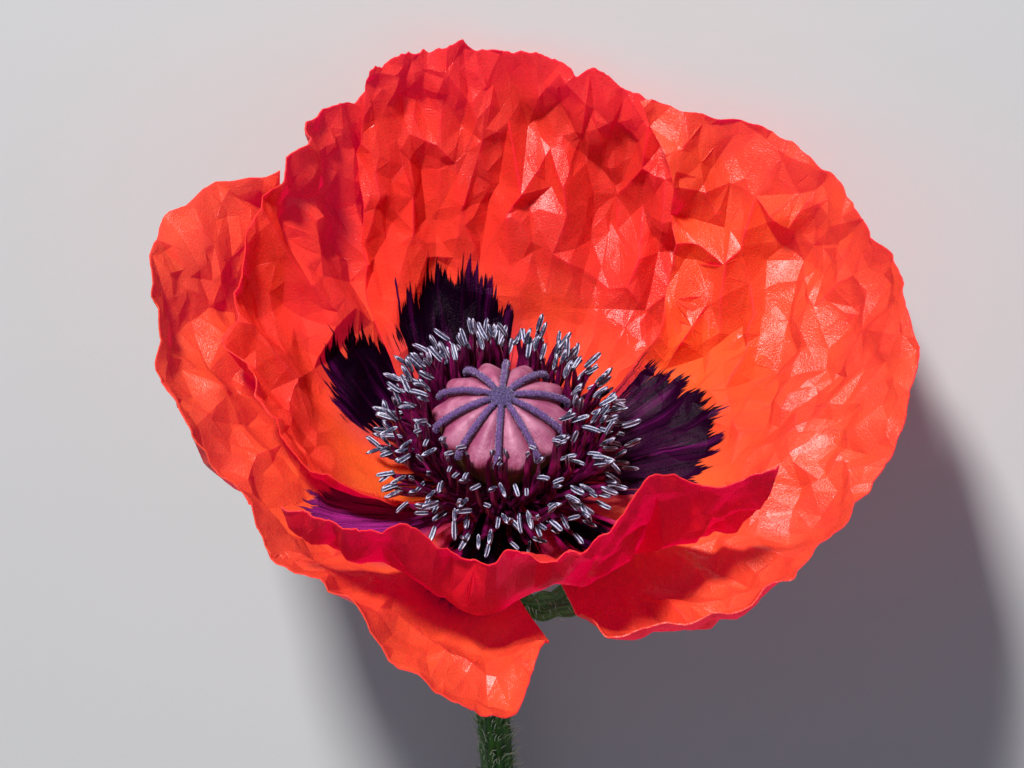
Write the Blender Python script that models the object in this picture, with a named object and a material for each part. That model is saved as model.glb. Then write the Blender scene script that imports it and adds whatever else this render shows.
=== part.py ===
"""A large scarlet poppy, picked: one open bloom on a short cut stem, lying on its side.

The bloom is modelled in its own frame, in millimetres: the flower's axis is +Z, the foot of the seed pod
is the origin, and the lowest, most open side of the bowl is towards -Y. An empty then lays it down, on
two points of its back petals and the end of its stem.
"""

import math
import random

import bmesh
import bpy
import numpy as np
from mathutils import Matrix, Vector
from mathutils.bvhtree import BVHTree
from mathutils.geometry import delaunay_2d_cdt

MM = 0.001

# Resting pose: how far the flower's axis tips up from the ground, how far the bloom leans to one side,
# and where the origin of its own frame then is.
REST_PITCH = math.radians(19.03)
REST_LEAN = math.radians(-4.51)
REST_SHIFT = (5.28, -42.01, 37.07)

# Stem, with the swollen receptacle that carries the bloom at its top.
STEM_LENGTH = 150.0
STEM_RADIUS = 2.9
STEM_SIDES = 12
STEM_RINGS = 22
STEM_BEND = math.radians(15.0)
STEM_LEAN = math.radians(2.5)
STEM_SWAY = math.radians(6.0)
STRAIGHT_NECK = 34.0
RECEPTACLE_RADIUS = 6.0
RECEPTACLE_DEPTH = 6.2
RECEPTACLE_TAPER = 13.5

# Gap between pieces that touch.
SEAT_GAP = 0.3

# Petal blades. Overlapping petals share one crumpled sheet and its pleats, so that they nest.
BLADE = 0.6
CLAW_RADIUS = RECEPTACLE_RADIUS + SEAT_GAP
CRUMPLE_SEED = 11
CRUMPLE_REACH = 96.0
FOLDS = [
    {"cell": 11.5, "across": 9.0, "height": 3.2},
    {"cell": 5.5, "across": 4.5, "height": 0.9},
]
FOLD_JITTER = 0.36
PLEAT_SEED = 18
PLEAT_STEP = 11.0
PLEAT_HEIGHT = 1.9
SMOOTH_HEART = 21.0
FULL_CRUMPLE = 46.0
CALM_RIM = 0.55
CALM_FROM = 0.8
RIM_SEED = 3
RIM_STEP = 0.045
RIM_BAND = 7

# Seed pod: radius and height down its outline, from the crown over its edge to the foot.
POD_OUTLINE = [
    (0.0, 18.4),
    (3.0, 18.1),
    (5.8, 17.2),
    (8.2, 15.9),
    (9.9, 14.5),
    (10.3, 13.3),
    (9.8, 11.0),
    (8.7, 7.8),
    (6.6, 4.6),
    (4.9, 2.2),
    (4.6, 0.3),
]
POD_SIDES = 20

# Stigma: raised velvety rays over the pod's crown, and the hub that they meet in.
RAY_COUNT = 10
RAY_TURN = 86.0
RAY_WIDTH = 1.3
RAY_TAPER = 0.25
RAY_CREST = 0.56
RAY_HEIGHT = 0.9
RAY_ROOT = 0.8
RAY_POINTS = 6
HUB_RADIUS = 1.9
HUB_RISE = 0.15

# Stamens: tiers from the innermost, upright ones to the outermost, low ones. Each has the radius and
# height of its filament's bend and tip.
TIERS = [
    {"count": 14, "bend": (13.6, 5.0), "tip": (13.2, 18.4)},
    {"count": 16, "bend": (14.6, 5.0), "tip": (16.0, 15.9)},
    {"count": 17, "bend": (14.6, 4.0), "tip": (18.2, 12.6)},
    {"count": 17, "bend": (14.2, 3.0), "tip": (19.4, 8.7)},
    {"count": 16, "bend": (13.6, 2.2), "tip": (19.4, 5.2)},
]
STAMEN_SEED = 5
STAMEN_ROOT = (6.05, 0.9)
STAMEN_SIDES = 3
STAMEN_STAGGER = 0.37
STAMEN_STRAY = 0.22
TIP_STRAY = (0.5, 0.6)
FILAMENT_RADIUS = 0.42
ANTHER_LENGTH = 3.2
ANTHER_RADIUS = 0.62
RING_SECTION = [(5.2, SEAT_GAP), (6.9, SEAT_GAP), (6.9, 1.6), (5.2, 1.6)]
RING_SIDES = 24

# Bract: a small toothed leaf that rises from the stem, under the bowl's open side.
BRACT_LINE = [
    (2.2, -2.8, -31.0),
    (7.0, -8.0, -25.0),
    (13.2, -11.2, -18.0),
    (19.6, -12.0, -12.6),
    (25.6, -11.4, -9.8),
]
BRACT_FACING = (0.0, -0.6, 0.8)
BRACT_WIDTH = 5.6
BRACT_CUP = 3.0
BRACT_TEETH = 6
BRACT_ACROSS = 5
TOOTH_DEPTH = 0.26

COLOURS = {
    "petal": ((0.78, 0.045, 0.012), 0.42),
    "stem": ((0.045, 0.115, 0.02), 0.6),
    "bract": ((0.06, 0.15, 0.03), 0.6),
    "seed_pod": ((0.42, 0.14, 0.22), 0.45),
    "stigma_rays": ((0.12, 0.045, 0.19), 0.8),
    "stamens": ((0.055, 0.012, 0.05), 0.5),
}


def rib(claw, bend, rim):
    """One line up a petal: its azimuth at the claw, then azimuth, radius and height of its bend and rim."""
    return (claw, *bend, *rim)


# Petals, from the outermost layer to the innermost: the height of the claw, the number of points across
# and along the blade, and ribs from one side of the petal to the other.
PETALS = {
    "petal_front_left": {
        "root_z": -4.8,
        "ripple": 0.014,
        "grid": (26, 15),
        "ribs": [
            rib(172, (158, 38, -7), (141, 45, 40)),
            rib(186, (176, 35, -8), (164, 56, 40)),
            rib(200, (192, 32, -9), (184, 53, 29)),
            rib(214, (208, 28, -9), (207, 44.5, 16)),
            rib(228, (228, 26, -9), (230, 41.5, 8.5)),
            rib(241, (246, 27, -8.5), (250, 45, 3.5)),
            rib(253, (264, 28, -8.5), (267, 49.5, 0)),
            rib(264, (282, 24, -8), (284, 36, -2.5)),
        ],
    },
    "petal_back_left": {
        "root_z": -3.8,
        "ripple": 0.03,
        "grid": (22, 15),
        "ribs": [
            rib(122, (112, 41, -5.5), (104, 54, 36)),
            rib(135, (128, 39.5, -5.5), (122, 50.5, 41)),
            rib(150, (144, 36, -5), (139, 44, 44)),
            rib(165, (161, 33, -5), (158, 44, 31)),
            rib(178, (178, 30, -5), (177, 42, 24)),
            rib(190, (192, 26, -5), (193, 34, 14)),
            rib(198, (200, 14, -3.6), (202, 18, 0.8)),
        ],
    },
    "petal_back": {
        "root_z": -2.8,
        "ripple": 0.03,
        "grid": (28, 17),
        "ribs": [
            rib(146, (128, 36, -2.5), (116, 49, 47)),
            rib(124, (112, 38, -2.5), (104, 50, 48.5)),
            rib(105, (96, 39, -2.5), (88, 49, 45)),
            rib(86, (80, 40, -3), (72, 50, 42)),
            rib(66, (60, 43, -4), (54, 53, 33)),
            rib(46, (42, 45, -5.5), (36, 56, 20)),
            rib(28, (24, 42, -6), (19, 49, 9)),
        ],
    },
    "petal_right": {
        "root_z": -1.8,
        "ripple": 0.010,
        "grid": (34, 16),
        "ribs": [
            rib(46, (24, 37, 1), (62, 47, 43)),
            rib(32, (31, 42, 0), (43, 57, 38)),
            rib(15, (15, 44, -1), (17, 64, 34)),
            rib(-2, (0, 44, -2), (0, 65, 32)),
            rib(-20, (-18, 42, -4.5), (-18, 60, 19)),
            rib(-36, (-38, 38, -9), (-40, 54, 13)),
            rib(-49, (-54, 32, -12), (-60, 43, 7)),
            rib(-58, (-64, 24, -12), (-67, 33, 3)),
        ],
    },
    "petal_front": {
        "root_z": -0.8,
        "ripple": 0.02,
        "grid": (34, 12),
        "ribs": [
            rib(235, (223, 34, -3), (216, 41.5, 22)),
            rib(245, (234, 34, -7), (231, 38, 24)),
            rib(256, (246, 34, -8.5), (244, 35, 27)),
            rib(268, (262, 33, -9), (261, 35, 18)),
            rib(280, (275, 33, -9), (274, 34, 24)),
            rib(291, (289, 33, -8.5), (288, 35, 26.5)),
            rib(301, (300, 34, -8), (296.5, 36.5, 25)),
            rib(313, (310, 36, -6), (308.5, 35.5, 33)),
            rib(324, (320, 40, -5), (319, 42, 28.5)),
            rib(332, (329, 42, -3), (330.5, 49.5, 31)),
        ],
    },
}


def clear_scene():
    for obj in list(bpy.data.objects):
        bpy.data.objects.remove(obj)


def resting_matrix():
    """Turns and moves the bloom's own frame to the pose in which it lies on the ground."""
    face_forwards = Matrix(((-1, 0, 0), (0, 0, -1), (0, -1, 0)))
    pitch = Matrix.Rotation(-REST_PITCH, 3, "X")
    lean = Matrix.Rotation(REST_LEAN, 3, "Y")
    return Matrix.Translation(Vector(REST_SHIFT) * MM) @ (lean @ pitch @ face_forwards).to_4x4()


# Curves and noise


def unit(vectors):
    return vectors / np.linalg.norm(vectors, axis=-1, keepdims=True)


def smooth_step(low, high, value):
    share = np.clip((value - low) / (high - low), 0.0, 1.0)
    return share * share * (3 - 2 * share)


def bezier(start, middle, end, t):
    return start * (1 - t) ** 2 + middle * 2 * t * (1 - t) + end * t**2


def catmull_rom(knots, where):
    """Evenly spaced knots joined by one smooth curve, read at the places asked for, from 0 to 1."""
    knots = np.asarray(knots, float)
    padded = np.vstack([2 * knots[0] - knots[1], knots, 2 * knots[-1] - knots[-2]])
    place = np.clip(where, 0, 1) * (len(knots) - 1)
    start = np.minimum(place.astype(int), len(knots) - 2)
    t = (place - start)[:, None]
    a, b, c, d = (padded[start + i] for i in range(4))
    return 0.5 * (2 * b + (c - a) * t + (2 * a - 5 * b + 4 * c - d) * t**2 + (3 * b - a - 3 * c + d) * t**3)


def random_line(seed, step, length):
    """Places about a step apart, unevenly, with a random value from -1 to 1 at each."""
    draw = random.Random(seed)
    count = round(length / step)
    places = [length * (i + draw.uniform(-0.3, 0.3)) / count for i in range(count)]
    return places, [draw.uniform(-1, 1) for _ in places]


def fold_sheet(seed, cell, across, height):
    """A crumpled sheet over the flattened bloom: flat facets between random heights, longer outwards."""
    draw = random.Random(seed)
    points, heights = [Vector((0, 0))], [0.0]
    for ring in range(1, int(CRUMPLE_REACH / cell) + 2):
        count = max(6, round(2 * math.pi * ring * cell / across))
        for i in range(count):
            stray = draw.uniform(-FOLD_JITTER, FOLD_JITTER)
            angle = (i + stray + 0.5 * (ring % 2)) / count * 2 * math.pi
            reach = cell * (ring + draw.uniform(-FOLD_JITTER, FOLD_JITTER))
            points.append(Vector((reach * math.cos(angle), reach * math.sin(angle))))
            heights.append(draw.uniform(-height, height))
    flat = delaunay_2d_cdt(points, [], [], 0, 1e-6)
    corners = [(v.x, v.y, heights[made_from[0]]) for v, made_from in zip(flat[0], flat[3])]
    return BVHTree.FromPolygons(corners, flat[2])


def sheet_heights(sheet, x, y):
    """Height of a sheet under each point of two like arrays."""
    above, down = 100.0, Vector((0, 0, -1))
    found = [sheet.ray_cast(Vector((px, py, above)), down)[0] for px, py in zip(x.flat, y.flat)]
    return np.array([hit.z if hit else 0.0 for hit in found]).reshape(x.shape)


# Meshes


def solid(name, points, faces):
    """An object with one mesh, in metres, its faces pointing out."""
    mesh = bpy.data.meshes.new(name)
    mesh.from_pydata(np.asarray(points) * MM, [], faces)
    shape = bmesh.new()
    shape.from_mesh(mesh)
    bmesh.ops.recalc_face_normals(shape, faces=shape.faces)
    shape.to_mesh(mesh)
    shape.free()
    obj = bpy.data.objects.new(name, mesh)
    bpy.context.scene.collection.objects.link(obj)
    return obj


def joined(name, shapes):
    """One body out of overlapping shapes, each given as its points and faces."""
    pieces = [solid(f"{name}_piece", points, faces) for points, faces in shapes]
    body, others = pieces[0], pieces[1:]
    body.name = name
    group = bpy.data.collections.new(name)
    for piece in others:
        group.objects.link(piece)
    union = body.modifiers.new("union", "BOOLEAN")
    union.operation = "UNION"
    union.operand_type = "COLLECTION"
    union.collection = group
    union.solver = "MANIFOLD"
    graph = bpy.context.evaluated_depsgraph_get()
    body.data = bpy.data.meshes.new_from_object(body.evaluated_get(graph))
    body.modifiers.clear()
    for piece in others:
        bpy.data.objects.remove(piece)
    bpy.data.collections.remove(group)
    return body


def ring_faces(count, sides, closed=False):
    """Faces between rings of points that follow each other, back to the first ring if closed."""
    faces = []
    for ring in range(count if closed else count - 1):
        low, high = ring * sides, (ring + 1) % count * sides
        for i in range(sides):
            after = (i + 1) % sides
            faces.append((low + i, low + after, high + after, high + i))
    return faces


def tube(path, radii, sides, turn=0.0):
    """Points and faces of a closed tube along a path, with its own radius at every point."""
    path = np.asarray(path, float)
    side = np.array([math.cos(turn), math.sin(turn), 0.2])
    points = []
    for centre, tangent, radius in zip(path, unit(np.gradient(path, axis=0)), radii):
        side = unit(side - tangent * side.dot(tangent))
        other = np.cross(tangent, side)
        for i in range(sides):
            angle = 2 * math.pi * i / sides
            points.append(centre + radius * (side * math.cos(angle) + other * math.sin(angle)))
    last = (len(path) - 1) * sides
    caps = [tuple(range(sides)), tuple(range(last, last + sides))]
    return points, ring_faces(len(path), sides) + caps


def turned(outline, sides, turn=0.0):
    """Points and faces of a shape turned round Z, from radius and height, crown first."""
    points = []
    for radius, height in outline[1:]:
        for i in range(sides):
            angle = turn + 2 * math.pi * i / sides
            points.append((radius * math.cos(angle), radius * math.sin(angle), height))
    crown, last = len(points), len(points) - sides
    points.append((0.0, 0.0, outline[0][1]))
    top = [(crown, i, (i + 1) % sides) for i in range(sides)]
    return points, top + ring_faces(len(outline) - 1, sides) + [tuple(range(last, last + sides))]


def surface_normals(grid):
    return unit(np.cross(np.gradient(grid, axis=0), np.gradient(grid, axis=1)))


def blade(name, grid, thickness):
    """A thin closed solid round a grid of points, split into the same triangles on both faces."""
    across, along = grid.shape[:2]
    lift = surface_normals(grid) * thickness / 2
    points = np.concatenate([(grid + lift).reshape(-1, 3), (grid - lift).reshape(-1, 3)])
    back = across * along
    faces = []
    for corner in (i * along + j for i in range(across - 1) for j in range(along - 1)):
        beside = corner + along
        for triangle in ((corner, beside, beside + 1), (corner, beside + 1, corner + 1)):
            faces += [triangle, tuple(back + k for k in reversed(triangle))]
    edge = list(range(0, back, along))
    edge += range(back - along + 1, back)
    edge += range(back - along - 1, 0, -along)
    edge += range(along - 2, 0, -1)
    for here, after in zip(edge, edge[1:] + edge[:1]):
        faces += [(after, here, back + here), (after, back + here, back + after)]
    return solid(name, points, faces)


# Petals


def petal_surface(name, petal):
    """Points of a petal's smooth blade, on a grid across it and from its claw to its uneven rim."""
    across, along = (np.linspace(0, 1, count) for count in petal["grid"])
    rows = catmull_rom(petal["ribs"], across)
    seed = RIM_SEED + list(PETALS).index(name)
    uneven = np.interp(across, *random_line(seed, RIM_STEP, 1.0))
    v = along * (1 + petal["ripple"] * uneven[:, None] * along**RIM_BAND)
    azimuth = np.radians(bezier(rows[:, 0:1], rows[:, 1:2], rows[:, 4:5], v))
    radius = bezier(CLAW_RADIUS, rows[:, 2:3], rows[:, 5:6], v)
    height = bezier(petal["root_z"], rows[:, 3:4], rows[:, 6:7], v)
    return np.stack([radius * np.cos(azimuth), radius * np.sin(azimuth), height], axis=2)


def rim_reach(azimuth):
    """How far out the outermost rim lies, at azimuths in degrees."""
    reach = np.zeros(azimuth.shape)
    for petal in PETALS.values():
        places, lengths = zip(*sorted((row[4], math.hypot(row[5], row[6])) for row in petal["ribs"]))
        for turn in (-360, 0, 360):
            found = np.interp(azimuth + turn, places, lengths, left=0, right=0)
            reach = np.maximum(reach, found)
    return reach


def crumpled(grid, sheets, pleats):
    """The blade pushed in and out by the shared folds, which are calmer at the smooth heart and the rims."""
    reach = np.linalg.norm(grid, axis=2)
    azimuth = np.arctan2(grid[..., 1], grid[..., 0])
    x, y = reach * np.cos(azimuth), reach * np.sin(azimuth)
    lift = PLEAT_HEIGHT * np.interp(np.degrees(azimuth), *pleats, period=360)
    for sheet in sheets:
        lift = lift + sheet_heights(sheet, x, y)
    share = smooth_step(SMOOTH_HEART, FULL_CRUMPLE, reach)
    share *= 1 - CALM_RIM * smooth_step(CALM_FROM, 1.0, reach / rim_reach(np.degrees(azimuth)))
    return grid + surface_normals(grid) * (lift * share)[..., None]


def make_petals():
    sheets = [fold_sheet(CRUMPLE_SEED + number, **fold) for number, fold in enumerate(FOLDS)]
    pleats = random_line(PLEAT_SEED, PLEAT_STEP, 360)
    for name, petal in PETALS.items():
        grid = crumpled(petal_surface(name, petal), sheets, pleats)
        yield blade(name, grid, BLADE)


# Seed pod and stigma


def make_seed_pod():
    points, faces = turned(POD_OUTLINE, POD_SIDES, math.radians(RAY_TURN))
    return solid("seed_pod", points, faces)


def ray_line():
    """Radius and height of a ray's centre line over the pod's crown, and which way is up from it."""
    crown = np.array(POD_OUTLINE[:RAY_POINTS], float)
    crown[0, 0] = RAY_ROOT
    along = np.gradient(crown, axis=0)
    upward = unit(np.stack([-along[:, 1], along[:, 0]], axis=1))
    return crown + upward * (SEAT_GAP + RAY_HEIGHT / 2), upward


def ray(angle):
    """One ray of the stigma: a ridge that narrows towards its tip, which laps over the pod's edge."""
    outward = np.array([math.cos(angle), math.sin(angle), 0])
    sideways = np.array([-math.sin(angle), math.cos(angle), 0])
    axis = np.array([0, 0, 1.0])
    points = []
    for step, (place, upward) in enumerate(zip(*ray_line())):
        middle = outward * place[0] + axis * place[1]
        rise = (outward * upward[0] + axis * upward[1]) * RAY_HEIGHT / 2
        half = sideways * RAY_WIDTH / 2 * (1 - RAY_TAPER * step / RAY_POINTS)
        low, high = middle - rise, middle + rise
        points += [low - half, low + half, high + half * RAY_CREST, high - half * RAY_CREST]
    last = 4 * (RAY_POINTS - 1)
    return points, ring_faces(RAY_POINTS, 4) + [(0, 1, 2, 3), tuple(range(last, last + 4))]


def make_stigma_rays():
    low = POD_OUTLINE[0][1] + SEAT_GAP
    high = low + RAY_HEIGHT + HUB_RISE
    hub = turned([(0, high), (HUB_RADIUS * 0.7, high - 0.1), (HUB_RADIUS, low + 0.1)], RAY_COUNT)
    turns = [math.radians(RAY_TURN + 360 * k / RAY_COUNT) for k in range(RAY_COUNT)]
    return joined("stigma_rays", [hub] + [ray(angle) for angle in turns])


# Stamens


def stamen(azimuth, bend, tip):
    """One stamen: a filament that bends outwards, narrows to a neck and ends in its anther."""
    turn = math.radians(azimuth)
    outward = np.array([math.cos(turn), math.sin(turn), 0])
    axis = np.array([0, 0, 1.0])
    root, middle, end = (outward * r + axis * z for r, z in (STAMEN_ROOT, bend, tip))
    heading = unit(end - middle)
    path = [bezier(root, middle, end, t) for t in (0.0, 0.4, 0.75, 1.0)]
    path += [end + heading * ANTHER_LENGTH * share for share in (0.15, 0.8, 1.0)]
    radii = [FILAMENT_RADIUS] * 3 + [FILAMENT_RADIUS * 0.6]
    radii += [ANTHER_RADIUS, ANTHER_RADIUS * 0.9, ANTHER_RADIUS * 0.25]
    return tube(path, radii, STAMEN_SIDES, turn)


def stamen_ring():
    """The ring that every filament grows from."""
    points = []
    for i in range(RING_SIDES):
        angle = 2 * math.pi * i / RING_SIDES
        points += [(r * math.cos(angle), r * math.sin(angle), z) for r, z in RING_SECTION]
    return points, ring_faces(RING_SIDES, len(RING_SECTION), closed=True)


def make_stamens():
    draw = random.Random(STAMEN_SEED)
    shapes = [stamen_ring()]
    for number, tier in enumerate(TIERS):
        for i in range(tier["count"]):
            place = i + STAMEN_STAGGER * number + draw.uniform(-STAMEN_STRAY, STAMEN_STRAY)
            tip = [value + draw.uniform(-stray, stray) for value, stray in zip(tier["tip"], TIP_STRAY)]
            shapes.append(stamen(360 * place / tier["count"], tier["bend"], tip))
    return joined("stamens", shapes)


# Stem and bract


def stem_line():
    """The stem's centre line: straight under the bloom, then bending to run along the ground."""
    share = np.linspace(0, 1, STEM_RINGS)
    curve = np.clip((share * STEM_LENGTH - STRAIGHT_NECK) / (STEM_LENGTH - STRAIGHT_NECK), 0, 1)
    bend = curve * STEM_BEND
    sway = np.sin(curve * math.pi) * STEM_SWAY - STEM_LEAN
    heading = np.stack([np.sin(sway), -np.sin(bend), -np.cos(bend)], axis=1)
    steps = (heading[1:] + heading[:-1]) / 2 * STEM_LENGTH / (STEM_RINGS - 1)
    return np.vstack([[0, 0, 0], np.cumsum(steps, axis=0)])


def make_stem():
    neck = (RECEPTACLE_DEPTH + RECEPTACLE_TAPER) / 2
    head = [(0, 0, -depth) for depth in (0, RECEPTACLE_DEPTH / 2, RECEPTACLE_DEPTH, neck)]
    shaft = [point for point in stem_line() if point[2] < 0.5 - RECEPTACLE_TAPER]
    radii = [RECEPTACLE_RADIUS, RECEPTACLE_RADIUS, RECEPTACLE_RADIUS * 0.9, RECEPTACLE_RADIUS * 0.65]
    points, faces = tube(head + shaft, radii + [STEM_RADIUS] * len(shaft), STEM_SIDES)
    return solid("stem", points, faces)


def make_bract():
    """A leaf round a line, its width swelling and narrowing, with teeth on both sides and a shallow cup."""
    along = 2 * BRACT_TEETH + 1
    share = np.linspace(0, 1, along)
    line = catmull_rom(BRACT_LINE, share)
    heading = np.gradient(line, axis=0)
    sideways = unit(np.cross(heading, BRACT_FACING))
    upward = unit(np.cross(sideways, heading))
    teeth = 1 - TOOTH_DEPTH * (np.arange(along) % 2 == 0)
    width = BRACT_WIDTH * (0.3 + 0.7 * np.sin(math.pi * (0.1 + 0.86 * share))) * teeth
    grid = np.zeros((BRACT_ACROSS, along, 3))
    for i, side in enumerate(np.linspace(-0.5, 0.5, BRACT_ACROSS)):
        grid[i] = line + sideways * width[:, None] * side + upward * BRACT_CUP * side**2
    return blade("bract", grid, BLADE)


# Scene


def paint(obj):
    """Gives an object a material of its own."""
    (red, green, blue), roughness = COLOURS["petal" if obj.name.startswith("petal") else obj.name]
    material = bpy.data.materials.new(obj.name)
    material.use_nodes = True
    shader = material.node_tree.nodes["Principled BSDF"]
    shader.inputs["Base Color"].default_value = (red, green, blue, 1)
    shader.inputs["Roughness"].default_value = roughness
    shader.inputs["Metallic"].default_value = 0.0
    obj.data.materials.clear()
    obj.data.materials.append(material)


def main():
    clear_scene()
    pose = bpy.data.objects.new("resting_pose", None)
    bpy.context.scene.collection.objects.link(pose)
    pose.matrix_world = resting_matrix()
    pieces = [make_stem(), make_bract(), make_seed_pod(), make_stigma_rays(), make_stamens()]
    for obj in pieces + list(make_petals()):
        obj.data.shade_smooth()
        obj.data.set_sharp_from_angle(angle=math.radians(35))
        paint(obj)
        obj.parent = pose


if __name__ == "__main__":
    main()
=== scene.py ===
"""A large scarlet poppy, picked and laid on its side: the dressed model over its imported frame.

Every piece is shaped in the bloom's own frame, in millimetres, as the solids are: the flower's axis is +Z,
the foot of the seed pod is the origin, and the lowest side of the bowl is towards -Y. Resting lays it down.
"""

import logging
import math
import random
from dataclasses import dataclass, field
from enum import Enum
from functools import cached_property
from typing import Any

import bpy
import numpy as np
from mathutils import Matrix, Vector
from mathutils.bvhtree import BVHTree
from mathutils.geometry import delaunay_2d_cdt


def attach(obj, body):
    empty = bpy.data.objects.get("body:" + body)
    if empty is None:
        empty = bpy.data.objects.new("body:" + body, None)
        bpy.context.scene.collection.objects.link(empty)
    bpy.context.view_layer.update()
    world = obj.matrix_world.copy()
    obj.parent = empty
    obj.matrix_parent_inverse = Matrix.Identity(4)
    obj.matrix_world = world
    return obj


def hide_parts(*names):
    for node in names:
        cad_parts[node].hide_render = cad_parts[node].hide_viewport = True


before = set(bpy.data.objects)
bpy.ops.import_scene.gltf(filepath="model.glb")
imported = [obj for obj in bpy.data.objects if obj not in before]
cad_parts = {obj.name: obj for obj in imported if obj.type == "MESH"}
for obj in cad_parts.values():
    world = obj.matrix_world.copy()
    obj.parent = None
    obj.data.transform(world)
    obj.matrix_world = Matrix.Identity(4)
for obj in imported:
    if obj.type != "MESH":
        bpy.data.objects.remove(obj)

Array = np.ndarray
Colour = tuple[float, float, float]
Pair = tuple[float, float]
Triple = tuple[float, float, float]
Four = tuple[float, float, float, float]
Faces = list[tuple[int, ...]]
Socket = bpy.types.NodeSocket
Node = bpy.types.Node
NodeTree = bpy.types.NodeTree
Mesh = bpy.types.Mesh
Object = bpy.types.Object
Material = bpy.types.Material

MM = 0.001
TINY = 1e-9
BODY = "root"
log = logging.getLogger("poppy")


# Shapes: curves, noise and meshes


def unit(vectors: Array) -> Array:
    """Vectors of length one, along the last axis."""
    return vectors / np.linalg.norm(vectors, axis=-1, keepdims=True)


def smooth_step(low: float, high: float, value: Array) -> Array:
    """A smooth rise from 0 at low to 1 at high."""
    share = np.clip((value - low) / (high - low), 0.0, 1.0)
    return share * share * (3 - 2 * share)


def bump(value: Array, middle: float, width: float) -> Array:
    """A rounded hump of height one about a middle."""
    return np.exp(-(((value - middle) / width) ** 2))


def bezier(start: Any, middle: Any, end: Any, t: Any) -> Any:
    """A quadratic curve from start to end, pulled towards middle, at t from 0 to 1."""
    return start * (1 - t) ** 2 + middle * 2 * t * (1 - t) + end * t**2


def catmull_rom(knots: Any, where: Array) -> Array:
    """Reads one smooth curve through evenly spaced knots.

    Args:
        knots: rows of numbers, one row for each knot.
        where: places along the curve, from 0 to 1.

    Returns:
        One row for each place.
    """
    knots = np.asarray(knots, float)
    padded = np.vstack([2 * knots[0] - knots[1], knots, 2 * knots[-1] - knots[-2]])
    place = np.clip(where, 0, 1) * (len(knots) - 1)
    start = np.minimum(place.astype(int), len(knots) - 2)
    t = (place - start)[:, None]
    a, b, c, d = (padded[start + i] for i in range(4))
    return 0.5 * (2 * b + (c - a) * t + (2 * a - 5 * b + 4 * c - d) * t**2 + (3 * b - a - 3 * c + d) * t**3)


def random_line(seed: int, step: float, length: float, stray: float = 0.3) -> tuple[list[float], list[float]]:
    """Draws uneven places along a line, with a value at each.

    Args:
        seed: seed of the draw.
        step: mean distance between places.
        length: length of the line.
        stray: how far a place may stray, in steps.

    Returns:
        The places, and a value from -1 to 1 at each.
    """
    draw = random.Random(seed)
    count = round(length / step)
    places = [length * (i + draw.uniform(-stray, stray)) / count for i in range(count)]
    return places, [draw.uniform(-1, 1) for _ in places]


def circle(count: int) -> Array:
    """Angles in radians of points spread evenly round a circle."""
    return math.tau * np.arange(count) / count


def polar(radius: Array, angle: Array, height: Array) -> Array:
    """Points at a radius and an angle round the axis, and at a height."""
    return np.stack([radius * np.cos(angle), radius * np.sin(angle), height], axis=-1)


def grid_map(rows: Array, columns: Array) -> Array:
    """A UV map over a grid of points: a column's number goes to U, a row's to V."""
    return np.stack(np.meshgrid(rows, columns, indexing="ij")[::-1], axis=2).reshape(-1, 2)


def surface_normals(grid: Array) -> Array:
    """Unit normals of a surface given as a grid of points."""
    return unit(np.cross(np.gradient(grid, axis=0), np.gradient(grid, axis=1)))


def line_normals(line: Array) -> Array:
    """Unit normals of a flat line, on the left of its way."""
    along = np.gradient(line, axis=0)
    return unit(np.stack([-along[:, 1], along[:, 0]], axis=1))


def inward_sign(points: Array, normals: Array) -> Array:
    """Which normals of a bowl-shaped blade point towards its axis and up, as 1 or -1."""
    flat = unit(points[:, :2])
    return np.sign((normals[:, :2] * -flat).sum(axis=1) + normals[:, 2])


def ring_faces(count: int, sides: int, closed: bool = False) -> Faces:
    """Quads between rings of points that follow each other.

    Args:
        count: number of rings.
        sides: points in each ring.
        closed: whether the last ring joins the first.

    Returns:
        The faces, ring by ring.
    """
    faces = []
    for ring in range(count if closed else count - 1):
        low, high = ring * sides, (ring + 1) % count * sides
        for i in range(sides):
            after = (i + 1) % sides
            faces.append((low + i, low + after, high + after, high + i))
    return faces


def flipped(faces: Faces) -> Faces:
    """Faces turned to look the other way."""
    return [tuple(reversed(face)) for face in faces]


@dataclass(frozen=True)
class Resting:
    """The pose in which the picked bloom lies on the ground, the same as the solids'."""

    pitch: float = math.radians(19.03)
    lean: float = math.radians(-4.51)
    shift: Triple = (5.28, -42.01, 37.07)

    def matrix(self) -> Matrix:
        """Gives the way to the ground.

        Returns:
            The matrix from the bloom's own frame to the ground's, both in metres.
        """
        face_forwards = Matrix(((-1, 0, 0), (0, 0, -1), (0, -1, 0)))
        turn = Matrix.Rotation(self.lean, 3, "Y") @ Matrix.Rotation(-self.pitch, 3, "X") @ face_forwards
        return Matrix.Translation(Vector(self.shift) * MM) @ turn.to_4x4()

    def lay_down(self, mesh: Mesh) -> None:
        """Takes a mesh from millimetres in the bloom's frame to metres on the ground."""
        mesh.transform(self.matrix() @ Matrix.Scale(MM, 4))

    def point(self, place: Triple) -> Vector:
        """A point of the bloom's frame, in millimetres, on the ground in metres."""
        return self.matrix() @ (Vector(place) * MM)

    def direction(self, way: Triple) -> Vector:
        """A direction of the bloom's frame, as it lies."""
        return (self.matrix().to_3x3() @ Vector(way)).normalized()


RESTING = Resting()


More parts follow.
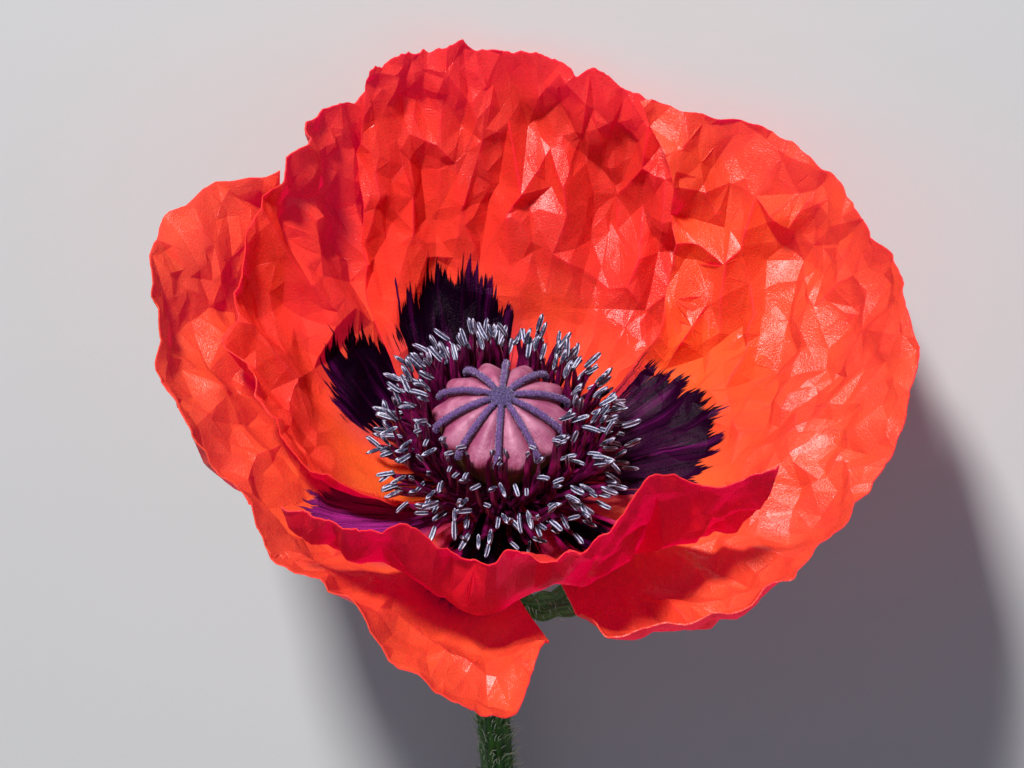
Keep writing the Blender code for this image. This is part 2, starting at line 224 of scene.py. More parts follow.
@dataclass
class Shape:
    """Points, faces and what the materials read of them, before they become a mesh."""

    points: Array
    faces: Faces
    fields: dict[str, Array] | None = None
    fan: Array | None = None

    def mesh(self, name: str) -> Mesh:
        """Makes the mesh, still in the bloom's frame.

        Args:
            name: name of the mesh.

        Returns:
            The mesh, with its attributes and its UV map.
        """
        mesh = bpy.data.meshes.new(name)
        mesh.from_pydata(np.asarray(self.points, float).tolist(), [], self.faces)
        for key, values in (self.fields or {}).items():
            attribute = mesh.attributes.new(key, "FLOAT", "POINT")
            attribute.data.foreach_set("value", np.asarray(values, np.float32).ravel())
        if self.fan is not None:
            corners = np.empty(len(mesh.loops), np.int32)
            mesh.loops.foreach_get("vertex_index", corners)
            layer = mesh.uv_layers.new(name="fan")
            layer.data.foreach_set("uv", self.fan.reshape(-1, 2)[corners].astype(np.float32).ravel())
        return mesh


def piece(
    name: str, mesh: Mesh, material: Material | None = None, node: str = "", sharp: float = 58.0
) -> Object:
    """Makes a finished piece of the bloom out of a mesh in the bloom's frame.

    Args:
        name: name of the piece.
        mesh: its mesh, in millimetres in the bloom's frame.
        material: its finish, or None where the mesh has it already.
        node: node of the solids that it stands for, if any.
        sharp: angle in degrees from which its edges are shaded as creases.

    Returns:
        The object, laid down and riding on the body.
    """
    RESTING.lay_down(mesh)
    if material is not None:
        mesh.materials.clear()
        mesh.materials.append(material)
    mesh.shade_smooth()
    mesh.set_sharp_from_angle(angle=math.radians(sharp))
    mesh.name = name
    obj = bpy.data.objects.new(name, mesh)
    bpy.context.scene.collection.objects.link(obj)
    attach(obj, BODY)
    if node:
        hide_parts(node)
    mesh.calc_loop_triangles()
    log.info("%s: %d triangles", name, len(mesh.loop_triangles))
    return obj


def keep_off_ground(mesh: Mesh, least: float = 0.05 * MM, zone: float = 0.0) -> None:
    """Squeezes the lowest zone of a mesh that already lies, so that it doesn't pierce the ground.

    Args:
        mesh: the mesh, in metres.
        least: the lowest height that is left.
        zone: up to where the mesh gives way, or nothing to press it flat.
    """
    zone = max(zone, least)
    places = np.empty(len(mesh.vertices) * 3, np.float32)
    mesh.vertices.foreach_get("co", places)
    heights = places.reshape(-1, 3)[:, 2]
    depth = max(zone - float(heights.min()), TINY)
    low = heights < zone
    heights[low] = zone - (zone - heights[low]) * min(1.0, (zone - least) / depth)
    mesh.vertices.foreach_set("co", places)
    mesh.update()


def tube(path: Array, radii: Array, sides: int, start: Triple = (1.0, 0.0, 0.2)) -> Array:
    """Rings of points round a path.

    Args:
        path: points of the centre line.
        radii: a radius for each point and side.
        sides: points round each ring.
        start: where round the path the rings start.

    Returns:
        The points, one row a ring.
    """
    side = np.array(start)
    angles = circle(sides)
    outward = []
    for tangent in unit(np.gradient(path, axis=0)):
        side = unit(side - tangent * side.dot(tangent))
        other = np.cross(tangent, side)
        outward.append(np.cos(angles)[:, None] * side + np.sin(angles)[:, None] * other)
    return path[:, None] + np.array(outward) * radii[..., None]


def blade(points: Array, lift: Array, faces: Array, fields: dict[str, Array], fan: Array) -> Shape:
    """A thin closed sheet round a triangulated surface, split alike on both faces.

    Args:
        points: points of its middle.
        lift: from the middle to the front face, at each point.
        faces: triangles of the front face.
        fields: numbers at each point of the front face, then of the back face.
        fan: the UV map at each point.

    Returns:
        The closed sheet.
    """
    count = len(points)
    sides = np.concatenate([faces[:, [0, 1]], faces[:, [1, 2]], faces[:, [2, 0]]])
    keys = np.sort(sides, axis=1) @ np.array([count, 1])
    _, place, number = np.unique(keys, return_index=True, return_counts=True)
    edge = sides[place[number == 1]]
    wall = np.stack([edge[:, 1], edge[:, 0], edge[:, 0] + count, edge[:, 1] + count], axis=1)
    every = [tuple(face) for part in (faces, faces[:, ::-1] + count, wall) for face in part.tolist()]
    return Shape(np.concatenate([points + lift, points - lift]), every, fields, np.tile(fan, (2, 1)))


def grid_triangles(across: int, along: int) -> Array:
    """Splits a grid of points into triangles.

    Args:
        across: its rows of points.
        along: points in a row, which are counted first.

    Returns:
        The triangles, one a row.
    """
    corner = (np.arange(across - 1)[:, None] * along + np.arange(along - 1)).ravel()
    low = np.stack([corner, corner + along, corner + along + 1], axis=1)
    high = np.stack([corner, corner + along + 1, corner + 1], axis=1)
    return np.concatenate([low, high])


@dataclass
class Plan:
    """A triangulated surface opened out on a plane, with numbers at its points to look up between them."""

    places: Array
    values: Array
    faces: Array
    slack: float = 0.3
    tree: BVHTree = field(init=False)

    def __post_init__(self) -> None:
        """Makes the tree that finds the triangle under a place."""
        flat = np.column_stack([self.places, np.zeros(len(self.places))])
        self.tree = BVHTree.FromPolygons(flat.tolist(), self.faces.tolist())

    def read(self, where: Array) -> tuple[Array, Array]:
        """Looks places up.

        Args:
            where: places on the plane, one a row.

        Returns:
            The values at each place, and how far outside the surface it lies.
        """
        found = [self.tree.find_nearest((x, y, 0.0)) for x, y in where.tolist()]
        corners = self.faces[[hit[2] for hit in found]]
        away = np.array([hit[3] for hit in found])
        a, b, c = (self.places[corners[:, k]] for k in range(3))
        first, second, third = b - a, c - a, where - a
        area = first[:, 0] * second[:, 1] - first[:, 1] * second[:, 0]
        area = np.where(np.abs(area) < TINY, TINY, area)
        along = (third[:, 0] * second[:, 1] - third[:, 1] * second[:, 0]) / area
        beyond = (first[:, 0] * third[:, 1] - first[:, 1] * third[:, 0]) / area
        share = np.clip(np.stack([1 - along - beyond, along, beyond], axis=1), -self.slack, 1 + self.slack)
        return (self.values[corners] * share[..., None]).sum(axis=1), away


Sheet = tuple[Plan, list[tuple[int, int]]]


# Node trees


class Graph:
    """A node tree under construction. Inputs go by name or place, and take a socket or a value."""

    def __init__(self, tree: NodeTree) -> None:
        """Starts adding to a tree."""
        self.tree = tree

    @staticmethod
    def find(sockets: Any, key: str | int) -> Socket:
        """The socket at a place, or the first one in use with a name."""
        named = (socket for socket in sockets if socket.name == key and socket.enabled)
        return sockets[key] if isinstance(key, int) else next(named)

    def link(self, start: Socket, end: Socket) -> None:
        """Joins an output to an input."""
        self.tree.links.new(start, end)

    def add(self, kind: str, inputs: dict[str | int, Any] | None = None, **settings: Any) -> Node:
        """Adds a node.

        Args:
            kind: its type.
            inputs: what feeds its sockets: other sockets, or plain values.
            settings: its own properties.

        Returns:
            The node.
        """
        node = self.tree.nodes.new(kind)
        for key, value in settings.items():
            setattr(node, key, value)
        for key, value in (inputs or {}).items():
            socket = self.find(node.inputs, key)
            if isinstance(value, Socket):
                self.link(value, socket)
            else:
                socket.default_value = value
        return node

    def read(
        self, kind: str, inputs: dict[str | int, Any] | None = None, output: str | int = 0, **own: Any
    ) -> Socket:
        """Adds a node in the same way and gives one of its outputs."""
        return self.find(self.add(kind, inputs, **own).outputs, output)

    def maths(self, operation: str, *values: Any) -> Socket:
        """The result of a sum on numbers."""
        return self.read("ShaderNodeMath", dict(enumerate(values)), operation=operation)

    def times(self, first: Any, second: Any) -> Socket:
        """One number times another."""
        return self.maths("MULTIPLY", first, second)

    def plus(self, first: Any, second: Any) -> Socket:
        """One number and another."""
        return self.maths("ADD", first, second)

    def minus(self, first: Any, second: Any) -> Socket:
        """One number less another."""
        return self.maths("SUBTRACT", first, second)

    def vector(self, operation: str, *values: Any) -> Socket:
        """The result of a sum on vectors."""
        return self.read("ShaderNodeVectorMath", dict(enumerate(values)), operation=operation)

    def scaled(self, vector: Socket, by: Any) -> Socket:
        """A vector times a number."""
        return self.read("ShaderNodeVectorMath", {0: vector, "Scale": by}, operation="SCALE")

    def joined(self, **parts: Any) -> Socket:
        """A vector from its X, Y and Z."""
        return self.read("ShaderNodeCombineXYZ", parts)

    def split(self, vector: Socket) -> Any:
        """A vector's X, Y and Z, by name."""
        return self.add("ShaderNodeSeparateXYZ", {0: vector}).outputs

    def rise(self, value: Socket, low: Any, high: Any, start: float = 0.0, end: float = 1.0) -> Socket:
        """A smooth rise from start to end as the value goes from low to high."""
        ends = {"Value": value, "From Min": low, "From Max": high, "To Min": start, "To Max": end}
        return self.read("ShaderNodeMapRange", ends, "Result", interpolation_type="SMOOTHSTEP")

    def blend(self, share: Any, first: Any, second: Any) -> Socket:
        """Mixes two colours.

        Args:
            share: how much there is of the second, from 0 to 1.
            first: a socket, or red, green and blue.
            second: a socket, or red, green and blue.

        Returns:
            The mixed colour.
        """
        ends = [c if isinstance(c, Socket) else (*c, 1.0) for c in (first, second)]
        values = {0: share, 6: ends[0], 7: ends[1]}
        return self.read("ShaderNodeMix", values, 2, data_type="RGBA", blend_type="MIX")

    def noise(self, place: Socket, scale: Any, detail: Any, roughness: float = 0.5) -> Socket:
        """Noise about 0.5 at a place."""
        values = {"Vector": place, "Scale": scale, "Detail": detail, "Roughness": roughness}
        return self.read("ShaderNodeTexNoise", values, "Fac")


class Effects:
    """Shader groups that several finishes share. Each gives a mask or a value over the surface."""

    def __init__(self) -> None:
        """Builds the groups once."""
        self.fibres = self._fibres()
        self.grain = self._grain()
        self.mottle = self._mottle()

    @staticmethod
    def _group(name: str, inputs: dict[str, float | None], output: str) -> tuple[Graph, Any, Socket]:
        """Starts a group with its sockets.

        Args:
            name: name of the group.
            inputs: its inputs with their usual numbers, or None for a vector.
            output: name of its one output.

        Returns:
            The graph to build in, what the group is given, and the output to feed.
        """
        tree = bpy.data.node_groups.new(name, "ShaderNodeTree")
        for key, value in inputs.items():
            kind = "NodeSocketVector" if value is None else "NodeSocketFloat"
            socket = tree.interface.new_socket(key, in_out="INPUT", socket_type=kind)
            if value is not None:
                socket.default_value = value
        tree.interface.new_socket(output, in_out="OUTPUT", socket_type="NodeSocketFloat")
        given, results = tree.nodes.new("NodeGroupInput").outputs, tree.nodes.new("NodeGroupOutput").inputs
        return Graph(tree), given, results[output]

    def _fibres(self) -> NodeTree:
        """Fine lines that run along the second coordinate of a UV map.

        Returns:
            The group.
        """
        inputs = {"Map": None, "Across": 90.0, "Along": 3.0, "Detail": 3.0}
        graph, given, result = self._group("fibres", inputs, "Lines")
        stretch = graph.joined(X=given["Across"], Y=given["Along"], Z=1.0)
        place = graph.vector("MULTIPLY", given["Map"], stretch)
        graph.link(graph.noise(place, 1.0, given["Detail"], 0.6), result)
        return graph.tree

    @staticmethod
    def _cells(graph: Graph, size: Socket, detail: float, roughness: float) -> Socket:
        """Noise of a size in millimetres, from the object's own coordinates."""
        place = graph.read("ShaderNodeTexCoord", output="Object")
        return graph.noise(place, graph.maths("DIVIDE", 1 / MM, size), detail, roughness)

    def _grain(self) -> NodeTree:
        """The tiny cells of a plant's skin.

        Returns:
            The group.
        """
        graph, given, result = self._group("grain", {"Size": 0.3, "Contrast": 1.0}, "Cells")
        noise = self._cells(graph, given["Size"], 2.0, 0.65)
        graph.link(graph.plus(graph.times(graph.minus(noise, 0.5), given["Contrast"]), 0.5), result)
        return graph.tree

    def _mottle(self) -> NodeTree:
        """Soft patches, as a mask from 0 to 1.

        Returns:
            The group.
        """
        graph, given, result = self._group("mottle", {"Size": 6.0, "Low": 0.4, "High": 0.6}, "Patches")
        noise = self._cells(graph, given["Size"], 3.0, 0.55)
        graph.link(graph.rise(noise, given["Low"], given["High"]), result)
        return graph.tree


EFFECTS = Effects()


class Paint(Graph):
    """A material under construction."""

    def __init__(self, name: str) -> None:
        """Starts an empty material.

        Args:
            name: its name.
        """
        self.material = bpy.data.materials.new(name)
        self.material.use_nodes = True
        super().__init__(self.material.node_tree)
        self.tree.nodes.clear()
        self.output = self.tree.nodes.new("ShaderNodeOutputMaterial")

    @cached_property
    def fan(self) -> Socket:
        """The piece's own UV map."""
        return self.read("ShaderNodeUVMap", output="UV", uv_map="fan")

    def effect(self, group: NodeTree, **inputs: Any) -> Socket:
        """Places a shared group and gives its mask."""
        return self.read("ShaderNodeGroup", inputs, node_tree=group)

    def fibres(self, across: float, along: float, detail: float) -> Socket:
        """Fine lines over the piece's own UV map: how many across and along it, and how rich in detail."""
        return self.effect(EFFECTS.fibres, Map=self.fan, Across=across, Along=along, Detail=detail)

    def grain(self, size: float, contrast: float = 1.0) -> Socket:
        """The skin's tiny cells, of a size in millimetres."""
        return self.effect(EFFECTS.grain, Size=size, Contrast=contrast)

    def mottle(self, size: float, low: float = 0.4, high: float = 0.6) -> Socket:
        """Soft patches of a size in millimetres, where the noise rises from low to high."""
        return self.effect(EFFECTS.mottle, Size=size, Low=low, High=high)

    def rough(self, grain: Socket, low: float, high: float, span: Pair = (0.3, 0.7)) -> Socket:
        """A roughness from low to high, as the grain goes over its span."""
        return self.rise(grain, *span, low, high)

    def field(self, name: str, output: str = "Fac") -> Socket:
        """A number that the mesh carries at its points."""
        return self.read("ShaderNodeAttribute", output=output, attribute_name=name)

    def relief(self, height: Socket, depth: float, strength: float = 1.0) -> Socket:
        """A normal from a height that spans a depth in millimetres."""
        values = {"Height": height, "Distance": depth * MM, "Strength": strength}
        return self.read("ShaderNodeBump", values, "Normal")

    def skin(self, colour: Socket, roughness: Any, normal: Socket, **more: Any) -> Socket:
        """A Principled shader.

        Args:
            colour: base colour.
            roughness: roughness, a socket or a number.
            normal: normal with its relief.
            more: plain numbers, or a socket, for further inputs, with underscores for their spaces.

        Returns:
            The shader.
        """
        values = {"Base Color": colour, "Roughness": roughness, "Normal": normal}
        values |= {key.replace("_", " "): value for key, value in more.items()}
        return self.read("ShaderNodeBsdfPrincipled", values)

    def glow_through(self, skin: Socket, colour: Any, normal: Socket, share: float) -> Socket:
        """Lets a share of the light pass through a thin leaf."""
        through = self.read("ShaderNodeBsdfTranslucent", {"Color": colour, "Normal": normal})
        return self.read("ShaderNodeMixShader", {0: share, 1: skin, 2: through})

    def done(self, shader: Socket) -> Material:
        """Joins the shader to the output and gives the material."""
        self.link(shader, self.output.inputs["Surface"])
        return self.material


# Finishes. Sizes are in millimetres, and pairs are where a noise or a field starts and stops to count.


@dataclass(frozen=True)
class PetalFinish:
    """Scarlet silk that lets light through, with dark feathered blotches at the petals' feet.

    The blades are glossy silk, and their hearts, round the blotches, are matt. Some colour is painted light: sunlit
    orange at the heart and over the lit petals, crimson shade on the outsides, sheen in the magenta flush near the
    blotches, which is partly the petal's own tint, and orchid highlights in the lit blotches.
    """

    scarlet: Colour = (0.91, 0.068, 0.034)
    # Painted sunlight: the orange of the heart, where the bowl's floor faces the light.
    painted_sunlit_orange: Colour = (0.92, 0.175, 0.028)
    deep: Colour = (0.78, 0.010, 0.034)
    glow: Colour = (0.98, 0.003, 0.30)
    night: Colour = (0.007, 0.0004, 0.008)
    violet: Colour = (0.115, 0.004, 0.085)
    # Painted highlight colour of lit blotches.
    painted_orchid_highlight: Colour = (0.50, 0.030, 0.32)
    magenta: Colour = (0.45, 0.004, 0.13)
    gloss_tint: Colour = (1.0, 0.84, 0.84)
    coarse_lines: Triple = (34.0, 2.5, 2.0)
    fine_lines: Triple = (120.0, 4.0, 3.0)
    feather: Pair = (11.0, 9.0)
    feather_edge: float = 0.3
    cloud: Triple = (14.0, 0.35, 0.7)
    cloud_depth: float = 0.25
    vein: Pair = (0.52, 0.75)
    vein_depth: float = 0.22
    coarse_streak: Pair = (0.50, 0.66)
    fine_streak: Pair = (0.36, 0.60)
    bright_streak: Pair = (0.30, 0.60)
    streak_depth: float = 0.8
    grain_size: float = 0.30
    crease: Triple = (1.6, 0.2, 0.8)
    heights: Triple = (1.8, 0.35, 0.4)
    relief: Pair = (0.10, 0.8)
    through: float = 0.60
    roughness: float = 0.31
    uneven: float = 0.10
    coat: Four = (0.32, 0.62, 0.1, 0.4)
    coat_roughness: float = 0.33
    wet: float = 0.10

    def material(self, name: str, gloss: float) -> Material:
        """Builds the material.

        Args:
            name: name of the material.
            gloss: how strongly its surface shines, from 0 to 1.

        Returns:
            The material.
        """
        paint = Paint(name)
        coarse, fine = paint.fibres(*self.coarse_lines), paint.fibres(*self.fine_lines)
        ragged = paint.plus(paint.times(coarse, self.feather[0]), paint.times(fine, self.feather[1]))
        edge = paint.plus(paint.field("blotch"), paint.minus(ragged, sum(self.feather) / 2))
        dark = paint.rise(edge, -self.feather_edge, self.feather_edge)

        # Painted sunlight: the heart field turns the silk orange at the heart and over the lit petals.
        silk = paint.blend(paint.rise(paint.field("heart"), 0.0, 1.0), self.painted_sunlit_orange, self.scarlet)
        cloud = paint.times(paint.mottle(*self.cloud), self.cloud_depth)
        # Painted shade: the outsides are blended towards deep crimson; the cloudy patches are random tone.
        silk = paint.blend(paint.maths("MAXIMUM", cloud, paint.field("painted_shade")), silk, self.deep)
        silk = paint.blend(paint.rise(fine, *self.vein, 0.0, self.vein_depth), silk, self.deep)
        # Magenta near the blotches: partly the petal's own tint, partly painted sheen. It tints the light through the
        # blade too.
        magenta_flush_and_sheen = paint.field("flush")
        silk = paint.blend(magenta_flush_and_sheen, silk, self.magenta)

        # Painted highlight: where the shine field is set, the blotch and its bright streaks turn orchid as if lit.
        shine = paint.field("shine")
        streak = paint.times(paint.rise(coarse, *self.coarse_streak), paint.rise(fine, *self.fine_streak))
        bright = paint.times(shine, paint.rise(fine, *self.bright_streak))
        streak = paint.maths("MAXIMUM", paint.times(streak, self.streak_depth), bright)
        stain = paint.blend(streak, self.night, paint.blend(shine, self.violet, self.painted_orchid_highlight))
        colour = paint.blend(dark, silk, stain)
        light = paint.blend(dark, paint.blend(magenta_flush_and_sheen, self.glow, self.magenta), self.night)

        grain, crease = paint.grain(self.grain_size), paint.mottle(*self.crease)
        first, *others = (paint.times(*pair) for pair in zip((grain, fine, crease), self.heights))
        normal = paint.relief(paint.plus(paint.plus(first, others[0]), others[1]), *self.relief)
        rough = paint.rough(grain, self.roughness - self.uneven, self.roughness + self.uneven)
        clear = paint.times(paint.minus(1.0, dark), gloss)
        coat = paint.times(paint.rise(grain, *self.coat), clear)
        coat = paint.maths("MAXIMUM", coat, paint.times(shine, self.wet))
        gleam = {"Specular_IOR_Level": gloss, "Specular_Tint": (*self.gloss_tint, 1.0)}
        skin = paint.skin(colour, rough, normal, Coat_Weight=coat, Coat_Roughness=self.coat_roughness, **gleam)
        return paint.done(paint.glow_through(skin, light, normal, self.through))


@dataclass(frozen=True)
class PodFinish:
    """Waxy mauve skin, rose as painted shade in the grooves beside the rays, and yellow-green low on the pod."""

    mauve: Colour = (0.21, 0.042, 0.098)
    pale: Colour = (0.33, 0.115, 0.180)
    rose: Colour = (0.15, 0.008, 0.042)
    green: Colour = (0.20, 0.17, 0.020)
    patch: Triple = (3.2, 0.35, 0.7)
    groove_shade: Pair = (-0.1, 0.95)
    groove_shade_depth: float = 0.75
    stain: Pair = (0.28, 0.5)
    stain_size: float = 2.4
    green_foot: Pair = (0.42, 0.72)
    lines: Triple = (150.0, 9.0, 3.0)
    line: Four = (0.5, 0.72, 0.0, 0.5)
    line_height: float = 0.8
    grain: Pair = (0.45, 1.2)
    relief: Pair = (0.09, 0.8)
    roughness: Pair = (0.42, 0.58)
    gloss: float = 0.4

    def material(self) -> Material:
        """Builds the material.

        Returns:
            The material.
        """
        paint = Paint("pod_skin")
        low = paint.field("low")
        skin = paint.blend(paint.mottle(*self.patch), self.mauve, self.pale)
        # Painted shade: rose in the grooves beside the rays.
        groove_shade = paint.times(paint.rise(paint.field("ridge"), *self.groove_shade), self.groove_shade_depth)
        skin = paint.blend(groove_shade, skin, self.rose)
        skin = paint.blend(paint.times(paint.rise(low, *self.stain), paint.mottle(self.stain_size)), skin, self.rose)
        skin = paint.blend(paint.rise(low, *self.green_foot), skin, self.green)
        fibres = paint.fibres(*self.lines)
        skin = paint.blend(paint.rise(fibres, *self.line), skin, self.pale)
        grain = paint.grain(*self.grain)
        normal = paint.relief(paint.plus(grain, paint.times(fibres, self.line_height)), *self.relief)
        return paint.done(paint.skin(skin, paint.rough(grain, *self.roughness), normal, Specular_IOR_Level=self.gloss))


@dataclass(frozen=True)
class VelvetFinish:
    """Violet velvet of the stigma, darker at the hub."""

    violet: Colour = (0.058, 0.018, 0.105)
    dusk: Colour = (0.022, 0.010, 0.062)
    dust: Colour = (0.15, 0.085, 0.23)
    dusty: Four = (0.5, 0.8, 0.0, 0.85)
    grain: Pair = (0.26, 1.5)
    relief: Pair = (0.12, 0.9)
    roughness: float = 0.85
    sheen: Pair = (0.35, 0.4)

    def material(self) -> Material:
        """Builds the material.

        Returns:
            The material.
        """
        paint = Paint("stigma_velvet")
        grain = paint.grain(*self.grain)
        base = paint.blend(paint.field("hub"), self.violet, self.dusk)
        colour = paint.blend(paint.rise(grain, *self.dusty), base, self.dust)
        sheen = {"Sheen_Weight": self.sheen[0], "Sheen_Roughness": self.sheen[1]}
        return paint.done(paint.skin(colour, self.roughness, paint.relief(grain, *self.relief), **sheen))


@dataclass(frozen=True)
class FilamentFinish:
    """Glossy maroon threads, with magenta painted light in random patches."""

    maroon: Colour = (0.050, 0.0012, 0.022)
    painted_lit_magenta: Colour = (0.20, 0.004, 0.075)
    patch: Triple = (2.6, 0.35, 0.72)
    grain_size: float = 0.2
    relief: Pair = (0.03, 0.5)
    roughness: float = 0.33
    coat: float = 0.15

    def material(self) -> Material:
        """Builds the material.

        Returns:
            The material.
        """
        paint = Paint("filament_gloss")
        # Painted light: random patches of lit magenta over the maroon.
        colour = paint.blend(paint.mottle(*self.patch), self.maroon, self.painted_lit_magenta)
        normal = paint.relief(paint.grain(self.grain_size), *self.relief)
        return paint.done(paint.skin(colour, self.roughness, normal, Coat_Weight=self.coat))


@dataclass(frozen=True)
class AntherFinish:
    """Slate anthers with split, powdery white seams along them."""

    slate: Colour = (0.020, 0.019, 0.042)
    lavender: Colour = (0.10, 0.10, 0.175)
    white: Colour = (0.36, 0.355, 0.47)
    seam: float = 0.52
    seam_width: float = 0.26
    seam_core: float = 0.45
    own_tone: float = 0.5
    ends: Pair = (0.97, 0.8)
    dusty: Four = (0.45, 0.75, 0.0, 0.7)
    grain: Pair = (0.35, 1.4)
    relief: Pair = (0.05, 0.7)
    roughness: Pair = (0.32, 0.7)

    def material(self) -> Material:
        """Builds the material.

        Returns:
            The material.
        """
        paint = Paint("anther_seams")
        place = paint.split(paint.field("anther_place", "Vector"))
        seam = paint.maths("ABSOLUTE", paint.minus(paint.maths("ABSOLUTE", place["X"]), self.seam))
        grain = paint.grain(*self.grain)
        tone = paint.plus(grain, paint.times(paint.field("anther_tone"), self.own_tone))
        width = paint.times(tone, self.seam_width)
        open_seam = paint.rise(seam, width, paint.times(width, self.seam_core))
        powder = paint.times(open_seam, paint.rise(paint.maths("ABSOLUTE", place["Z"]), *self.ends))
        coat = paint.blend(paint.rise(grain, *self.dusty), self.slate, self.lavender)
        colour = paint.blend(powder, coat, self.white)
        rough = paint.rise(powder, 0.0, 1.0, *self.roughness)
        return paint.done(paint.skin(colour, rough, paint.relief(grain, *self.relief)))


@dataclass(frozen=True)
class StemFinish:
    """Green ribbed skin, with a pale ring of pith where the stem is cut."""

    dark: Colour = (0.010, 0.062, 0.004)
    light: Colour = (0.070, 0.21, 0.020)
    purple: Colour = (0.055, 0.016, 0.022)
    pith: Colour = (0.52, 0.56, 0.30)
    lines: Triple = (26.0, 14.0, 3.0)
    line: Pair = (0.36, 0.66)
    patch: Triple = (5.0, 0.5, 0.75)
    patch_depth: float = 0.4
    grain_size: float = 0.4
    grain_height: float = 0.5
    relief: Pair = (0.12, 0.7)
    roughness: Pair = (0.42, 0.6)
    gloss: float = 0.3

    def material(self) -> Material:
        """Builds the material.

        Returns:
            The material.
        """
        paint = Paint("stem_skin")
        lines = paint.fibres(*self.lines)
        skin = paint.blend(paint.rise(lines, *self.line), self.dark, self.light)
        skin = paint.blend(paint.times(paint.mottle(*self.patch), self.patch_depth), skin, self.purple)
        skin = paint.blend(paint.field("scar"), skin, self.purple)
        colour = paint.blend(paint.field("cut"), skin, self.pith)
        grain = paint.grain(self.grain_size)
        normal = paint.relief(paint.plus(lines, paint.times(grain, self.grain_height)), *self.relief)
        rough = paint.rough(grain, *self.roughness)
        return paint.done(paint.skin(colour, rough, normal, Specular_IOR_Level=self.gloss))


@dataclass(frozen=True)
class BristleFinish:
    """Stiff pale hairs, greener at the foot than at the tip."""

    straw: Colour = (0.78, 0.80, 0.60)
    green: Colour = (0.30, 0.42, 0.16)
    pale_tip: Pair = (0.1, 0.8)
    grain_size: float = 0.8
    relief: Pair = (0.02, 0.4)
    roughness: float = 0.4

    def material(self) -> Material:
        """Builds the material.

        Returns:
            The material.
        """
        paint = Paint("bristle_straw")
        colour = paint.blend(paint.rise(paint.field("bristle_tip"), *self.pale_tip), self.green, self.straw)
        normal = paint.relief(paint.grain(self.grain_size), *self.relief)
        return paint.done(paint.skin(colour, self.roughness, normal))


@dataclass(frozen=True)
class BractFinish:
    """A small green leaf with brown stripes along it."""

    green: Colour = (0.060, 0.19, 0.020)
    pale: Colour = (0.17, 0.32, 0.055)
    brown: Colour = (0.050, 0.022, 0.010)
    glow: Colour = (0.22, 0.40, 0.05)
    stripes: Triple = (11.0, 2.2, 3.0)
    stripe: Pair = (0.5, 0.6)
    stripe_height: float = 1.4
    fine_lines: Triple = (60.0, 6.0, 2.0)
    fine: Pair = (0.4, 0.65)
    grain_size: float = 0.3
    relief: Pair = (0.12, 0.8)
    roughness: Pair = (0.4, 0.58)
    through: float = 0.2

    def material(self) -> Material:
        """Builds the material.

        Returns:
            The material.
        """
        paint = Paint("bract_leaf")
        stripes = paint.fibres(*self.stripes)
        leaf = paint.blend(paint.rise(paint.fibres(*self.fine_lines), *self.fine), self.green, self.pale)
        colour = paint.blend(paint.rise(stripes, *self.stripe), leaf, self.brown)
        grain = paint.grain(self.grain_size)
        normal = paint.relief(paint.plus(paint.times(stripes, self.stripe_height), grain), *self.relief)
        skin = paint.skin(colour, paint.rough(grain, *self.roughness), normal)
        return paint.done(paint.glow_through(skin, (*self.glow, 1.0), normal, self.through))


# Petals


@dataclass(frozen=True)
class Fold:
    """One layer of creases: the size of its facets out from the heart and across, and their height."""

    cell: float
    across: float
    height: float


